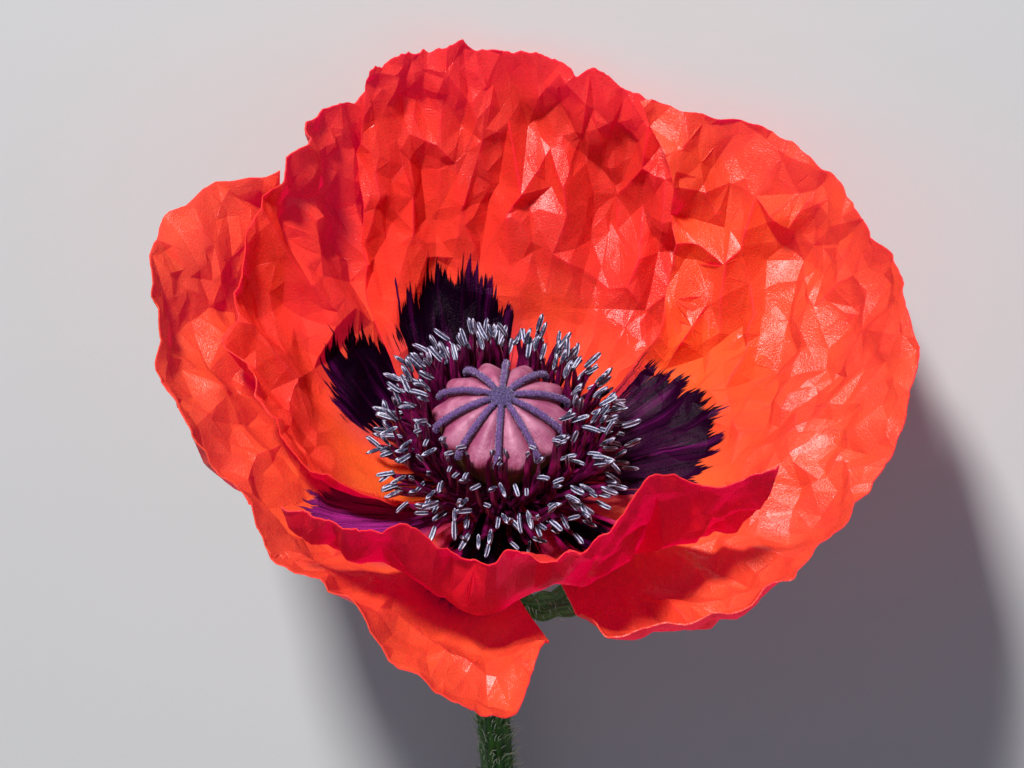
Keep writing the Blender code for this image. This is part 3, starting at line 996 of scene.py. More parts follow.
@dataclass(frozen=True)
class Crumple:
    """The crumpled sheet that overlapping petals share, so that they nest. It starts as the solids' does."""

    seed: int = 11
    reach: float = 96.0
    jitter: float = 0.36
    main_folds: tuple[Fold, ...] = (Fold(11.5, 9.0, 3.2), Fold(5.5, 4.5, 2.3))
    fine_folds: tuple[Fold, ...] = (Fold(3.1, 2.6, 0.6),)
    calm_patch: Fold = Fold(21.0, 17.0, 0.7)
    contrast: tuple[float, ...] = (1.0, 0.6, 0.7)
    fewest: int = 6
    pleat_seed: int = 18
    pleat_step: float = 11.0
    pleat_height: float = 1.9
    pleat_start: float = 16.0
    crumpled: Pair = (21.0, 46.0)
    fine_crumpled: Pair = (14.0, 34.0)
    calm_rim: float = 0.55
    calm_from: float = 0.8
    point_step: float = 0.85
    row_step: float = 0.87
    point_stray: float = 0.2
    margin: float = 8.0
    on_blade: float = 1e-5
    merged: Pair = (1e-6, 1e-4)

    def sheet(self, number: int, fold: Fold) -> Sheet:
        """Makes one layer over the flattened bloom.

        Args:
            number: place of the layer in the stack, which seeds it.
            fold: sizes of the layer.

        Returns:
            Its heights over the plane, and its creases as pairs of points.
        """
        draw = random.Random(self.seed + number)
        points, heights = [Vector((0, 0))], [0.0]
        for ring in range(1, int(self.reach / fold.cell) + 2):
            count = max(self.fewest, round(math.tau * ring * fold.cell / fold.across))
            for i in range(count):
                stray = draw.uniform(-self.jitter, self.jitter)
                angle = (i + stray + 0.5 * (ring % 2)) / count * math.tau
                reach = fold.cell * (ring + draw.uniform(-self.jitter, self.jitter))
                points.append(Vector((reach * math.cos(angle), reach * math.sin(angle))))
                height = draw.uniform(-1, 1)
                heights.append(fold.height * math.copysign(abs(height) ** self.contrast[number], height))
        flat = delaunay_2d_cdt(points, [], [], 0, self.merged[0])
        values = [[heights[made_from[0]]] for made_from in flat[3]]
        return Plan(np.array(flat[0]), np.array(values), np.array(flat[2])), flat[1]

    def sheets(self) -> list[Sheet]:
        """Makes every layer.

        Returns:
            The folds, coarse to fine, and last the patches where they are calm, which have no creases.
        """
        folds = self.main_folds + self.fine_folds
        layers = [self.sheet(number, fold) for number, fold in enumerate(folds)]
        return layers + [(self.sheet(0, self.calm_patch)[0], [])]

    def pleats(self) -> tuple[list[float], list[float]]:
        """Azimuths of the radial pleats, in degrees, and their heights."""
        return random_line(self.pleat_seed, self.pleat_step, 360)

    def spots(self, low: Array, high: Array) -> Array:
        """Scatters points evenly over a part of the plane, so that triangles stay small.

        Args:
            low: its lowest corner.
            high: its highest corner.

        Returns:
            The points, one a row.
        """
        draw = random.Random(self.seed)
        step, stray = self.point_step, self.point_stray * self.point_step
        rows = enumerate(np.arange(low[1], high[1], step * self.row_step))
        spots = [(x + 0.5 * step * (k % 2), y) for k, y in rows for x in np.arange(low[0], high[0], step)]
        return np.array([(x + draw.uniform(-stray, stray), y + draw.uniform(-stray, stray)) for x, y in spots])

    def split(self, plan: Plan, loop: Array, sheets: list[Sheet]) -> tuple[Array, Array]:
        """Divides a blade into triangles whose edges follow the creases.

        Args:
            plan: the blade opened out on the plane.
            loop: its outline there, anticlockwise.
            sheets: the layers of creases.

        Returns:
            Points on the plane, and triangles.
        """
        points = [Vector(place) for place in loop.tolist()]
        edges = []
        low, high = loop.min(axis=0) - self.margin, loop.max(axis=0) + self.margin
        for sheet, creases in sheets:
            near = ((sheet.places > low) & (sheet.places < high)).all(axis=1)
            number = {}
            for crease in creases:
                if near[crease[0]] and near[crease[1]]:
                    for end in crease:
                        if end not in number:
                            number[end] = len(points)
                            points.append(Vector(sheet.places[end].tolist()))
                    edges.append((number[crease[0]], number[crease[1]]))
        for azimuth in np.radians(self.pleats()[0]):
            way = Vector((math.cos(azimuth), math.sin(azimuth)))
            edges.append((len(points), len(points) + 1))
            points += [way * self.pleat_start, way * self.reach]
        spots = self.spots(low, high)
        points += [Vector(spot) for spot in spots[plan.read(spots)[1] < self.on_blade].tolist()]
        outline = [list(range(len(loop)))]
        flat = delaunay_2d_cdt(points, edges, outline, 0, self.merged[1])
        inside = [face for face, of in zip(flat[2], flat[5]) if of]
        used, numbers = np.unique(np.array(inside), return_inverse=True)
        return np.array(flat[0])[used], numbers.reshape(-1, 3)

    @staticmethod
    def rim_reach(azimuth: Array) -> Array:
        """Looks up the bloom's outline.

        Args:
            azimuth: azimuths in degrees.

        Returns:
            How far out the outermost rim lies at each.
        """
        reach = np.zeros(azimuth.shape)
        for petal in PETALS:
            places, lengths = zip(*sorted((row[4], math.hypot(row[5], row[6])) for row in petal.ribs))
            for turn in (-360, 0, 360):
                reach = np.maximum(reach, np.interp(azimuth + turn, places, lengths, left=0, right=0))
        return reach

    def crease(self, points: Array, normals: Array, sheets: list[Sheet]) -> Array:
        """Pushes a smooth blade in and out with the folds, which are calmer at the heart, at rims and in patches.

        Args:
            points: points of the blade.
            normals: its normals there.
            sheets: the layers of folds, the calm patches last.

        Returns:
            The creased points.
        """
        reach = np.linalg.norm(points, axis=1)
        azimuth = np.arctan2(points[:, 1], points[:, 0])
        where = polar(reach, azimuth, reach)[:, :2]
        pleats = self.pleat_height * np.interp(np.degrees(azimuth), *self.pleats(), period=360)
        first, second, *fine, patch = [sheet.read(where)[0][:, 0] for sheet, _ in sheets]
        envelope = smooth_step(*self.crumpled, reach)
        rim = reach / self.rim_reach(np.degrees(azimuth))
        envelope *= 1 - self.calm_rim * smooth_step(self.calm_from, 1.0, rim)
        small = inward_sign(points, normals) * sum(fine) * smooth_step(*self.fine_crumpled, reach)
        return points + normals * ((first + pleats + second * (1 + patch)) * envelope + small)[:, None]


@dataclass(frozen=True)
class Blotch:
    """A dark patch at a petal's foot: its middle and half its width in degrees round the axis, and its reach."""

    azimuth: float
    half: float
    reach: float


@dataclass(frozen=True)
class Petal:
    """One petal: the node it stands for, its ribs, how fine its mesh is, and its blotches.

    A rib is a line up the petal: its azimuth at the claw, then azimuth, radius and height of its bend, and of
    its rim. A curl is where across the rim it lies, half its width, and how far it rolls, in millimetres.
    """

    node: str
    root_z: float
    rim_seed: int
    grid: tuple[int, int]
    ribs: tuple[tuple[float, ...], ...]
    blotches: tuple[Blotch, ...]
    lip: float = 1.1
    spread: float = 1.0
    # Magenta near the blotches: partly the petal's own tint, partly painted sheen.
    flush: float = 0.35
    ripple: float = 0.010
    # How much of the heart keeps its orange of painted sunlight.
    painted_sunlit_heart: float = 1.0
    # Painted highlight on the blotch, in orchid, which also adds a wet gloss.
    shine: float = 0.0
    # How far painted sunlight turns the whole blade orange.
    painted_sunlight: float = 0.0
    # How much painted crimson shade covers the blade's outside.
    outside: float = 0.5
    rounded: float = 0.0
    curls: tuple[Triple, ...] = ()


# fmt: off
PETALS = (
    Petal(
        "petal_front_left", -4.8, 3, (196, 124),
        ((172, 158, 38, -7, 141, 45, 40), (186, 176, 35, -8, 164, 56, 40), (200, 192, 32, -9, 184, 53, 29),
         (214, 208, 28, -9, 207, 44.5, 16), (228, 228, 26, -9, 230, 41.5, 8.5), (241, 246, 27, -8.5, 250, 45, 3.5),
         (253, 264, 28, -8.5, 267, 49.5, 0), (264, 282, 24, -8, 284, 36, -2.5)),
        (Blotch(199, 17, 31), Blotch(250, 16, 24)),
        spread=0.9, flush=0.8, ripple=0.007, shine=1.0, painted_sunlight=0.55, rounded=0.11, curls=((0.10, 0.10, 2.2),),
    ),
    Petal(
        "petal_back_left", -3.8, 4, (150, 120),
        ((122, 112, 41, -5.5, 104, 54, 36), (135, 128, 39.5, -5.5, 122, 50.5, 41), (150, 144, 36, -5, 139, 44, 44),
         (165, 161, 33, -5, 158, 44, 31), (178, 178, 30, -5, 177, 42, 24), (190, 192, 26, -5, 193, 34, 14),
         (198, 200, 14, -3.6, 202, 18, 0.8)),
        (Blotch(141, 18, 33),),
        spread=0.65, ripple=0.014, painted_sunlight=0.2,
    ),
    Petal(
        "petal_back", -2.8, 5, (206, 128),
        ((146, 128, 36, -2.5, 116, 49, 47), (124, 112, 38, -2.5, 104, 50, 48.5), (105, 96, 39, -2.5, 88, 49, 45),
         (86, 80, 40, -3, 72, 50, 42), (66, 60, 43, -4, 54, 53, 33), (46, 42, 45, -5.5, 36, 56, 20),
         (28, 24, 42, -6, 19, 49, 9)),
        (Blotch(107, 20, 34.5),),
        spread=0.85, ripple=0.014, painted_sunlit_heart=0.45,
    ),
    Petal(
        "petal_right", -1.8, 6, (236, 132),
        ((46, 24, 37, 1, 62, 47, 43), (32, 31, 42, 0, 43, 57, 38), (15, 15, 44, -1, 17, 64, 34),
         (-2, 0, 44, -2, 0, 65, 32), (-20, -18, 42, -4.5, -18, 60, 19), (-36, -38, 38, -9, -40, 54, 13),
         (-49, -54, 32, -12, -60, 43, 7), (-58, -64, 24, -12, -67, 33, 3)),
        (Blotch(13, 23, 35),),
        flush=0.6, ripple=0.006, painted_sunlit_heart=0.55, shine=0.2, painted_sunlight=0.50,
    ),
    Petal(
        "petal_front", -0.8, 7, (230, 100),
        ((235, 223, 34, -3, 216, 41.5, 22), (245, 234, 34, -7, 231, 38, 24), (256, 246, 34, -8.5, 244, 35, 27),
         (268, 262, 33, -9, 261, 35, 18), (280, 275, 33, -9, 274, 34, 24), (291, 289, 33, -8.5, 288, 35, 26.5),
         (301, 300, 34, -8, 296.5, 36.5, 25), (313, 310, 36, -6, 308.5, 35.5, 33), (324, 320, 40, -5, 319, 42, 28.5),
         (332, 329, 42, -3, 330.5, 49.5, 31)),
        (Blotch(266, 26, 19), Blotch(318, 12, 23)),
        lip=0.8, spread=0.45, flush=1.0, outside=0.9, curls=((0.53, 0.13, 4.4), (0.16, 0.10, 2.0)),
    ),
)
# fmt: on


@dataclass
class Leaf:
    """A petal's blade as triangles, still smooth, with what it has at each point."""

    faces: Array
    points: Array
    normals: Array
    across: Array
    along: Array

    def __post_init__(self) -> None:
        """Works out distances from the axis and which way is inwards."""
        self.radius = np.linalg.norm(self.points[:, :2], axis=1)
        self.inward = inward_sign(self.points, self.normals)


@dataclass(frozen=True)
class Petals:
    """The five petals in their layers, thin and finely creased, over the solids' own surfaces."""

    crumple: Crumple = Crumple()
    finish: PetalFinish = PetalFinish()
    gloss: tuple[tuple[str, float], ...] = (("petal_silk", 1.0), ("petal_heart", 0.05), ("petal_outside", 0.3))
    claw_radius: float = 6.3
    thickness: float = 0.24
    claw_thickness: float = 0.7
    claw: float = 0.22
    rim_step: float = 0.045
    rim_band: int = 7
    corner: float = 0.085
    nibbles: tuple[Pair, ...] = ((0.018, 0.004), (0.0065, 0.0022))
    nibble_seed: int = 40
    lip_seed: int = 90
    lip_step: float = 0.06
    lip_band: float = 0.88
    curl_band: float = 0.80
    curl_fade: Pair = (1.0, 0.25)
    curl_drop: float = 0.45
    unstained: float = -30.0
    stain_curve: float = 0.16
    stain_side: float = 1.3
    outside_stain: float = 5.0
    matt_stain: float = -9.0
    matt_heart: float = 0.46
    heart_radius: Pair = (22.0, 48.0)
    heart_along: Pair = (0.3, 0.65)
    flush_and_sheen_stain: Pair = (-7.0, 0.0)
    flush_and_sheen_radius: Pair = (32.0, 24.0)
    shine_radius: Pair = (38.0, 28.0)
    sharp: float = 17.0
    ground_zone: float = 4.0

    def surface(self, petal: Petal) -> tuple[Array, Array, Array]:
        """The smooth blade of a petal.

        Args:
            petal: the petal.

        Returns:
            Its points, and each row's share across and column's share along.
        """
        across, along = (np.linspace(0, 1, count) for count in petal.grid)
        rows = catmull_rom(petal.ribs, across)
        uneven = petal.ripple * np.interp(across, *random_line(petal.rim_seed, self.rim_step, 1.0))
        for number, (step, size) in enumerate(self.nibbles):
            seed = petal.rim_seed + self.nibble_seed + 10 * number
            uneven += size * np.interp(across, *random_line(seed, step, 1.0))
        corner = np.clip((across - 1) / self.corner + 1, 0, 1)
        uneven -= petal.rounded * (1 - np.sqrt(1 - corner**2))
        v = along * (1 + uneven[:, None] * along**self.rim_band)
        azimuth = np.radians(bezier(rows[:, 0:1], rows[:, 1:2], rows[:, 4:5], v))
        radius = bezier(self.claw_radius, rows[:, 2:3], rows[:, 5:6], v)
        height = bezier(petal.root_z, rows[:, 3:4], rows[:, 6:7], v)
        return polar(radius, azimuth, height), across, along

    def stain(self, points: Array, petal: Petal) -> Array:
        """Measures the blotches.

        Args:
            points: points of the blade.
            petal: the petal.

        Returns:
            How far inside a blotch each point lies, in millimetres.
        """
        azimuth = np.degrees(np.arctan2(points[:, 1], points[:, 0]))
        radius = np.linalg.norm(points[:, :2], axis=1)
        inside = np.full(radius.shape, self.unstained)
        for blotch in petal.blotches:
            off = (azimuth - blotch.azimuth + 180) % 360 - 180
            share = np.abs(off) / blotch.half
            outer = blotch.reach - self.stain_curve * blotch.reach * share**2 - radius
            side = (1 - share) * math.radians(blotch.half) * radius * self.stain_side
            inside = np.maximum(inside, np.minimum(outer, side))
        return inside

    def opened(self, petal: Petal) -> tuple[Plan, Array]:
        """Opens a smooth blade out on the plane of the folds.

        Args:
            petal: the petal.

        Returns:
            Its plan, which carries points, normals and shares across and along, and its outline there.
        """
        grid, across, along = self.surface(petal)
        reach = np.linalg.norm(grid, axis=2)
        radius = np.linalg.norm(grid[..., :2], axis=2)
        places = grid[..., :2] * (reach / radius)[..., None]
        shares = np.stack(np.meshgrid(across, along, indexing="ij"), axis=2)
        values = np.concatenate([grid, surface_normals(grid), shares], axis=2)
        loop = np.concatenate([places[:, 0], places[-1, 1:], places[-2::-1, -1], places[0, -2:0:-1]])
        turned = (loop * np.roll(loop, -1, axis=0)[:, ::-1] * (1, -1)).sum()
        plan = Plan(places.reshape(-1, 2), values.reshape(-1, values.shape[2]), grid_triangles(*petal.grid))
        return plan, loop if turned > 0 else loop[::-1]

    def divided(self, petal: Petal, sheets: list[Sheet]) -> Leaf:
        """Divides a petal's smooth blade along the creases.

        Args:
            petal: the petal.
            sheets: the layers of folds.

        Returns:
            The divided blade.
        """
        plan, loop = self.opened(petal)
        places, faces = self.crumple.split(plan, loop, sheets)
        values, _ = plan.read(places)
        return Leaf(faces, values[:, :3], unit(values[:, 3:6]), values[:, 6], values[:, 7])

    def creased(self, petal: Petal, leaf: Leaf, sheets: list[Sheet]) -> Array:
        """Creases a blade, then bends its lip and rolls its rim outwards.

        Args:
            petal: the petal.
            leaf: its smooth blade.
            sheets: the layers of folds.

        Returns:
            The blade's points.
        """
        points = self.crumple.crease(leaf.points, leaf.normals, sheets)
        lip = random_line(petal.rim_seed + self.lip_seed, self.lip_step, 1.0)
        lip = petal.lip * np.interp(leaf.across, *lip)
        lip *= np.clip((leaf.along - self.lip_band) / (1 - self.lip_band), 0, 1) ** 2
        points += leaf.normals * lip[:, None]
        roll = np.zeros(leaf.across.shape)
        for middle, half, size in petal.curls:
            roll += size * smooth_step(*self.curl_fade, np.abs(leaf.across - middle) / half)
        roll *= np.clip((leaf.along - self.curl_band) / (1 - self.curl_band), 0, 1) ** 2
        points -= leaf.normals * (leaf.inward * roll)[:, None]
        points[:, 2] -= self.curl_drop * roll
        return points

    def build_one(self, petal: Petal, sheets: list[Sheet], silks: list[Material]) -> Object:
        """Builds one petal, dresses it and lets it stand for its node.

        Args:
            petal: the petal.
            sheets: the layers of folds.
            silks: its finishes: glossy, matt and for its outside.

        Returns:
            The petal.
        """
        leaf = self.divided(petal, sheets)
        points, faces, radius = self.creased(petal, leaf, sheets), leaf.faces, leaf.radius
        first, second, third = (points[faces[:, k]] for k in range(3))
        if (np.cross(second - first, third - first) * leaf.normals[faces[:, 0]]).sum() < 0:
            faces = faces[:, ::-1]
        claw = 1 - smooth_step(0, self.claw, leaf.along)
        thickness = self.thickness + (self.claw_thickness - self.thickness) * claw
        heart = np.maximum(smooth_step(*self.heart_radius, radius), smooth_step(*self.heart_along, leaf.along))
        stain = self.stain(leaf.points, petal)
        matt = np.tile((heart < self.matt_heart) | (stain > self.matt_stain), 2)
        # The heart field also carries painted sunlight: orange at the heart and over the lit petals.
        heart = (1 - petal.painted_sunlit_heart * (1 - heart)) * (1 - petal.painted_sunlight)
        # Magenta near the blotches, low on the blade and inside only: partly own tint, partly painted sheen.
        flush = petal.flush * smooth_step(*self.flush_and_sheen_stain, stain) * smooth_step(*self.flush_and_sheen_radius, radius)
        inside = np.concatenate([leaf.inward > 0, leaf.inward <= 0])
        fields = {
            "blotch": np.tile(stain, 2) - self.outside_stain * ~inside,
            "heart": np.tile(heart, 2),
            "flush": np.where(inside, np.tile(flush, 2), 0.0),
            # Outsides carry painted shade.
            "painted_shade": np.where(inside, 0.0, petal.outside),
            # Painted highlight on the blotches, low on the blade.
            "shine": petal.shine * np.tile(smooth_step(*self.shine_radius, radius), 2),
        }
        fan = np.stack([leaf.across * petal.spread, leaf.along], axis=1)
        shape = blade(points, leaf.normals * thickness[:, None] / 2, faces, fields, fan)
        mesh = shape.mesh(petal.node)
        for silk in silks:
            mesh.materials.append(silk)
        slots = np.where(matt, 1, np.where(inside, 0, 2))[[face[0] for face in shape.faces]]
        mesh.polygons.foreach_set("material_index", slots.astype(np.int32))
        obj = piece(petal.node + "_silk", mesh, node=petal.node, sharp=self.sharp)
        keep_off_ground(obj.data, zone=self.ground_zone * MM)
        return obj

    def build(self) -> list[Object]:
        """Builds and dresses the petals.

        Returns:
            The five petals.
        """
        sheets = self.crumple.sheets()
        silks = [self.finish.material(name, gloss) for name, gloss in self.gloss]
        return [self.build_one(petal, sheets, silks) for petal in PETALS]


# Geometry trees


class Kind(Enum):
    """Kinds of value that a geometry tree takes or gives."""

    NUMBER = "NodeSocketFloat"
    COUNT = "NodeSocketInt"
    VECTOR = "NodeSocketVector"
    MATERIAL = "NodeSocketMaterial"
    GEOMETRY = "NodeSocketGeometry"
    ROTATION = "NodeSocketRotation"

    @classmethod
    def of(cls, value: Any) -> "Kind":
        """The kind of a plain value."""
        kinds = ((Material, cls.MATERIAL), (int, cls.COUNT), (float, cls.NUMBER), (tuple, cls.VECTOR))
        return next(kind for make, kind in kinds if isinstance(value, make))


class Growth(Graph):
    """A geometry tree with named inputs, which ends in plain mesh with its material."""

    def __init__(self, name: str, values: dict[str, Any]) -> None:
        """Starts a tree, which takes geometry to add to.

        Args:
            name: name of the tree.
            values: its further inputs, each with a value of its kind.
        """
        super().__init__(bpy.data.node_groups.new(name, "GeometryNodeTree"))
        self._socket("Geometry", "INPUT", Kind.GEOMETRY)
        for key, value in values.items():
            self._socket(key, "INPUT", Kind.of(value))
        self.given = self.tree.nodes.new("NodeGroupInput").outputs

    def _socket(self, name: str, side: str, kind: Kind) -> None:
        """Adds a socket to the tree's interface."""
        self.tree.interface.new_socket(name, in_out=side, socket_type=kind.value)

    def random(self, low: float, high: float, salt: int) -> Socket:
        """A number for each element from low to high, with a seed of its own by its salt."""
        values = {"Min": low, "Max": high, "Seed": self.plus(self.given["Seed"], float(salt))}
        return self.read("FunctionNodeRandomValue", values, "Value")

    def strays(self, most: float, salt: int) -> Socket:
        """A vector for each element, with each of its numbers up to most either way."""
        return self.joined(**{axis: self.random(-most, most, salt + k) for k, axis in enumerate("XYZ")})

    def place(self) -> Socket:
        """Where each element lies."""
        return self.read("GeometryNodeInputPosition")

    def joins(self, *parts: Socket) -> Socket:
        """Joins parts and makes their copies real.

        Args:
            parts: the parts, in the order in which they are joined.

        Returns:
            Their geometry.
        """
        join = self.tree.nodes.new("GeometryNodeJoinGeometry")
        for part in parts:
            self.link(part, join.inputs[0])
        return self.read("GeometryNodeRealizeInstances", {"Geometry": join.outputs[0]})

    def stored(self, geometry: Socket, name: str, value: Any, **own: Any) -> Socket:
        """Geometry that carries a value under a name, for its finish."""
        values = {"Geometry": geometry, "Name": name, "Value": value}
        return self.read("GeometryNodeStoreNamedAttribute", values, **own)

    def ball(self, segments: int, rings: int) -> Socket:
        """A ball of radius one."""
        values = {"Segments": segments, "Rings": rings, "Radius": 1.0}
        return self.read("GeometryNodeMeshUVSphere", values, "Mesh")

    def moved(self, geometry: Socket, **way: Any) -> Socket:
        """Geometry with its points moved by an Offset, or to a Position."""
        return self.read("GeometryNodeSetPosition", {"Geometry": geometry, **way})

    def copies(self, points: Socket, shape: Socket, turn: Socket, scale: Any = (1.0, 1.0, 1.0)) -> Socket:
        """Copies of a shape at points."""
        values = {"Points": points, "Instance": shape, "Rotation": turn, "Scale": scale}
        return self.read("GeometryNodeInstanceOnPoints", values)

    def scattered(self, surface: Socket) -> Any:
        """Points all over a surface, by the tree's Density and Seed, with their Normal and Rotation."""
        values = {"Mesh": surface, "Density": self.given["Density"], "Seed": self.given["Seed"]}
        return self.add("GeometryNodeDistributePointsOnFaces", values).outputs

    def give(self, **outputs: tuple[Kind, Socket]) -> NodeTree:
        """Ends a tree that others use.

        Args:
            outputs: the kind and the source of each named output.

        Returns:
            The tree.
        """
        for key, (kind, _) in outputs.items():
            self._socket(key, "OUTPUT", kind)
        sink = self.tree.nodes.new("NodeGroupOutput").inputs
        for key, (_, socket) in outputs.items():
            self.link(socket, sink[key])
        return self.tree

    def grow(self, name: str, passes: list[dict[str, Any]], *parts: Socket, base: Mesh | None = None) -> Mesh:
        """Ends the tree in Realize Instances and Set Material, runs it and takes its result as a plain mesh.

        Args:
            name: name of the mesh.
            passes: the inputs of each pass of the tree over the geometry.
            parts: what the tree joins and gives.
            base: geometry to start from, or nothing.

        Returns:
            The mesh, in the frame of its base.
        """
        values = {"Geometry": self.joins(*parts), "Material": self.given["Material"]}
        self.give(Geometry=(Kind.GEOMETRY, self.read("GeometryNodeSetMaterial", values)))
        obj = bpy.data.objects.new(name, base or bpy.data.meshes.new(name))
        bpy.context.scene.collection.objects.link(obj)
        items = [i for i in self.tree.interface.items_tree if i.item_type == "SOCKET" and i.in_out == "INPUT"]
        names = {item.name: item.identifier for item in items}
        for number, inputs in enumerate(passes):
            modifier = obj.modifiers.new(f"pass_{number}", "NODES")
            modifier.node_group = self.tree
            for key, value in inputs.items():
                modifier[names[key]] = value
        mesh = bpy.data.meshes.new_from_object(obj.evaluated_get(bpy.context.evaluated_depsgraph_get()))
        obj.modifiers.clear()
        bpy.data.objects.remove(obj)
        return mesh


# Seed pod and stigma


@dataclass(frozen=True)
class SeedPod:
    """The ribbed ovary: a domed crown that bulges between its rays, and a body that narrows to its foot."""

    outline: tuple[Pair, ...] = (
        (0.0, 18.4), (3.0, 18.1), (5.8, 17.2), (8.2, 15.9), (9.9, 14.5), (10.3, 13.3),
        (9.8, 11.0), (8.7, 7.8), (6.6, 4.6), (4.9, 2.2), (4.6, 0.3),
    )
    sides: int = 200
    rows: int = 90
    rays: int = 10
    turn: float = math.radians(86.0)
    groove: float = 0.48
    crown: tuple[Pair, Pair] = ((0.02, 0.2), (0.5, 0.75))
    scallop: float = 0.44
    rim: Pair = (0.47, 0.07)
    finish: PodFinish = PodFinish()

    def build(self) -> list[Object]:
        """Builds the pod and lets it stand for its node.

        Returns:
            The pod.
        """
        share = np.linspace(0, 1, self.rows)[1:]
        line = catmull_rom(self.outline, share)
        outward = line_normals(line)
        angle = self.turn + circle(self.sides)
        ridge = np.cos(self.rays * (angle - self.turn))
        start, end = self.crown
        crown = smooth_step(*start, share) * (1 - smooth_step(*end, share))
        rim = bump(share, *self.rim)
        bulge = -self.groove * crown[:, None] * ridge - self.scallop * rim[:, None] * ridge
        radius, height = (line[:, k : k + 1] + outward[:, k : k + 1] * bulge for k in range(2))
        points = polar(radius, angle, height).reshape(-1, 3)
        count = len(points)
        points = np.vstack([points, [(0, 0, self.outline[0][1])]])
        top = [(count, i, (i + 1) % self.sides) for i in range(self.sides)]
        foot = range(count - self.sides, count)
        faces = top + flipped(ring_faces(self.rows - 1, self.sides) + [tuple(foot)])
        fields = {
            "ridge": np.append(np.tile(ridge, self.rows - 1), 1.0),
            "low": np.append(np.repeat(share, self.sides), 0.0),
        }
        turn = np.abs(2 * np.arange(self.sides) / self.sides - 1)
        fan = np.vstack([grid_map(share, turn), [(0.5, 0.0)]])
        mesh = Shape(points, faces, fields, fan).mesh("seed_pod_skin")
        return [piece("seed_pod_skin", mesh, self.finish.material(), "seed_pod")]


@dataclass(frozen=True)
class Stigma:
    """Ten velvety rays over the pod's crown, the hub they meet in, and the papillae all over them."""

    pod: SeedPod = SeedPod()
    width: float = 1.0
    height: float = 0.95
    lift: float = 0.60
    root: float = 0.5
    points: int = 6
    rows: int = 56
    section: int = 14
    slim: float = 0.22
    slim_until: float = 0.3
    swell: float = 0.16
    swell_along: Pair = (0.6, 0.92)
    tip_along: Pair = (0.9, 1.04)
    tip: float = 0.02
    hub: Triple = (2.0, 2.0, 0.75)
    hub_lift: float = 0.55
    hub_grid: tuple[int, int] = (40, 20)
    hub_along: Pair = (0.02, 0.22)
    rough: float = 0.13
    wave: Pair = (2.2, 3.0)
    papilla: Pair = (0.055, 0.17)
    papilla_tip: float = 0.02
    papilla_size: Pair = (0.6, 1.3)
    density: float = 11.0
    seed: int = 31
    finish: VelvetFinish = VelvetFinish()

    def ray(self) -> Shape:
        """Shapes one ray along +X: a rounded ridge, slim at the hub and swollen before its drooping tip.

        Returns:
            The closed ray.
        """
        crown = np.array(self.pod.outline[: self.points], float)
        crown[0, 0] = self.root
        share = np.linspace(0, 1, self.rows)
        line = catmull_rom(crown, share)
        upward = line_normals(line)
        centre = line + upward * self.lift
        swell = 1 - self.slim + self.slim * smooth_step(0.0, self.slim_until, share)
        swell *= 1 + self.swell * smooth_step(*self.swell_along, share)
        swell *= np.sqrt(np.clip(1 - smooth_step(*self.tip_along, share) ** 2, self.tip, 1))
        angle = circle(self.section)
        sideways = np.cos(angle) * self.width / 2
        rise = np.sin(angle) * self.height / 2
        points = np.zeros((self.rows, self.section, 3))
        points[..., 0] = centre[:, :1] + upward[:, :1] * rise * swell[:, None]
        points[..., 1] = sideways * swell[:, None]
        points[..., 2] = centre[:, 1:] + upward[:, 1:] * rise * swell[:, None]
        last = (self.rows - 1) * self.section
        caps = [tuple(reversed(range(self.section))), tuple(range(last, last + self.section))]
        hub = 1 - smooth_step(*self.hub_along, share)
        faces = ring_faces(self.rows, self.section) + caps
        return Shape(points.reshape(-1, 3), faces, {"hub": np.repeat(hub, self.section)})

    def build(self) -> list[Object]:
        """Repeats the ray round the axis, adds the hub, roughens both and covers them with papillae.

        Returns:
            The stigma, which stands for its node.
        """
        settings = {
            "Rays": self.pod.rays,
            "Turn": self.pod.turn,
            "Hub Place": (0.0, 0.0, self.pod.outline[0][1] + self.hub_lift),
            "Hub Size": self.hub,
            "Rough": self.rough,
            "Papilla Radius": self.papilla[0],
            "Papilla Length": self.papilla[1],
            "Density": self.density,
            "Seed": self.seed,
            "Material": self.finish.material(),
        }
        tree = Growth("stigma_rays", settings)
        given = tree.given
        spots = tree.read("GeometryNodePoints", {"Count": given["Rays"]})
        number = tree.read("GeometryNodeInputIndex")
        angle = tree.plus(tree.times(tree.maths("DIVIDE", number, given["Rays"]), math.tau), given["Turn"])
        rays = tree.copies(spots, given["Geometry"], tree.joined(Z=angle))
        values = {"Geometry": tree.ball(*self.hub_grid), "Translation": given["Hub Place"]}
        values["Scale"] = given["Hub Size"]
        dome = tree.stored(tree.read("GeometryNodeTransform", values), "hub", 1.0)
        body = tree.joins(rays, dome)
        wave = tree.minus(tree.noise(tree.place(), *self.wave), 0.5)
        normal = tree.read("GeometryNodeInputNormal", output="Normal")
        body = tree.moved(body, Offset=tree.scaled(normal, tree.times(wave, tree.times(given["Rough"], 4.0))))
        spots = tree.scattered(body)
        ends = {"Radius Top": self.papilla_tip, "Radius Bottom": given["Papilla Radius"]}
        cone = {"Vertices": 4, **ends, "Depth": given["Papilla Length"]}
        papilla = tree.read("GeometryNodeMeshCone", cone, "Mesh", fill_type="NONE")
        size = tree.random(*self.papilla_size, 3)
        papillae = tree.copies(spots["Points"], papilla, spots["Rotation"], size)
        mesh = tree.grow("stigma_velvet", [settings], body, papillae, base=self.ray().mesh("stigma_ray"))
        return [piece("stigma_velvet", mesh, node="stigma_rays")]


# Stamens

SPREAD = ("Count", "Turn", "Stray", "Lean", "Seed")


@dataclass(frozen=True)
class Tier:
    """One ring of stamens: how many, the radius and height of their bend and tip, and how anthers point."""

    count: int
    bend: Pair
    tip: Pair
    anther_rise: float


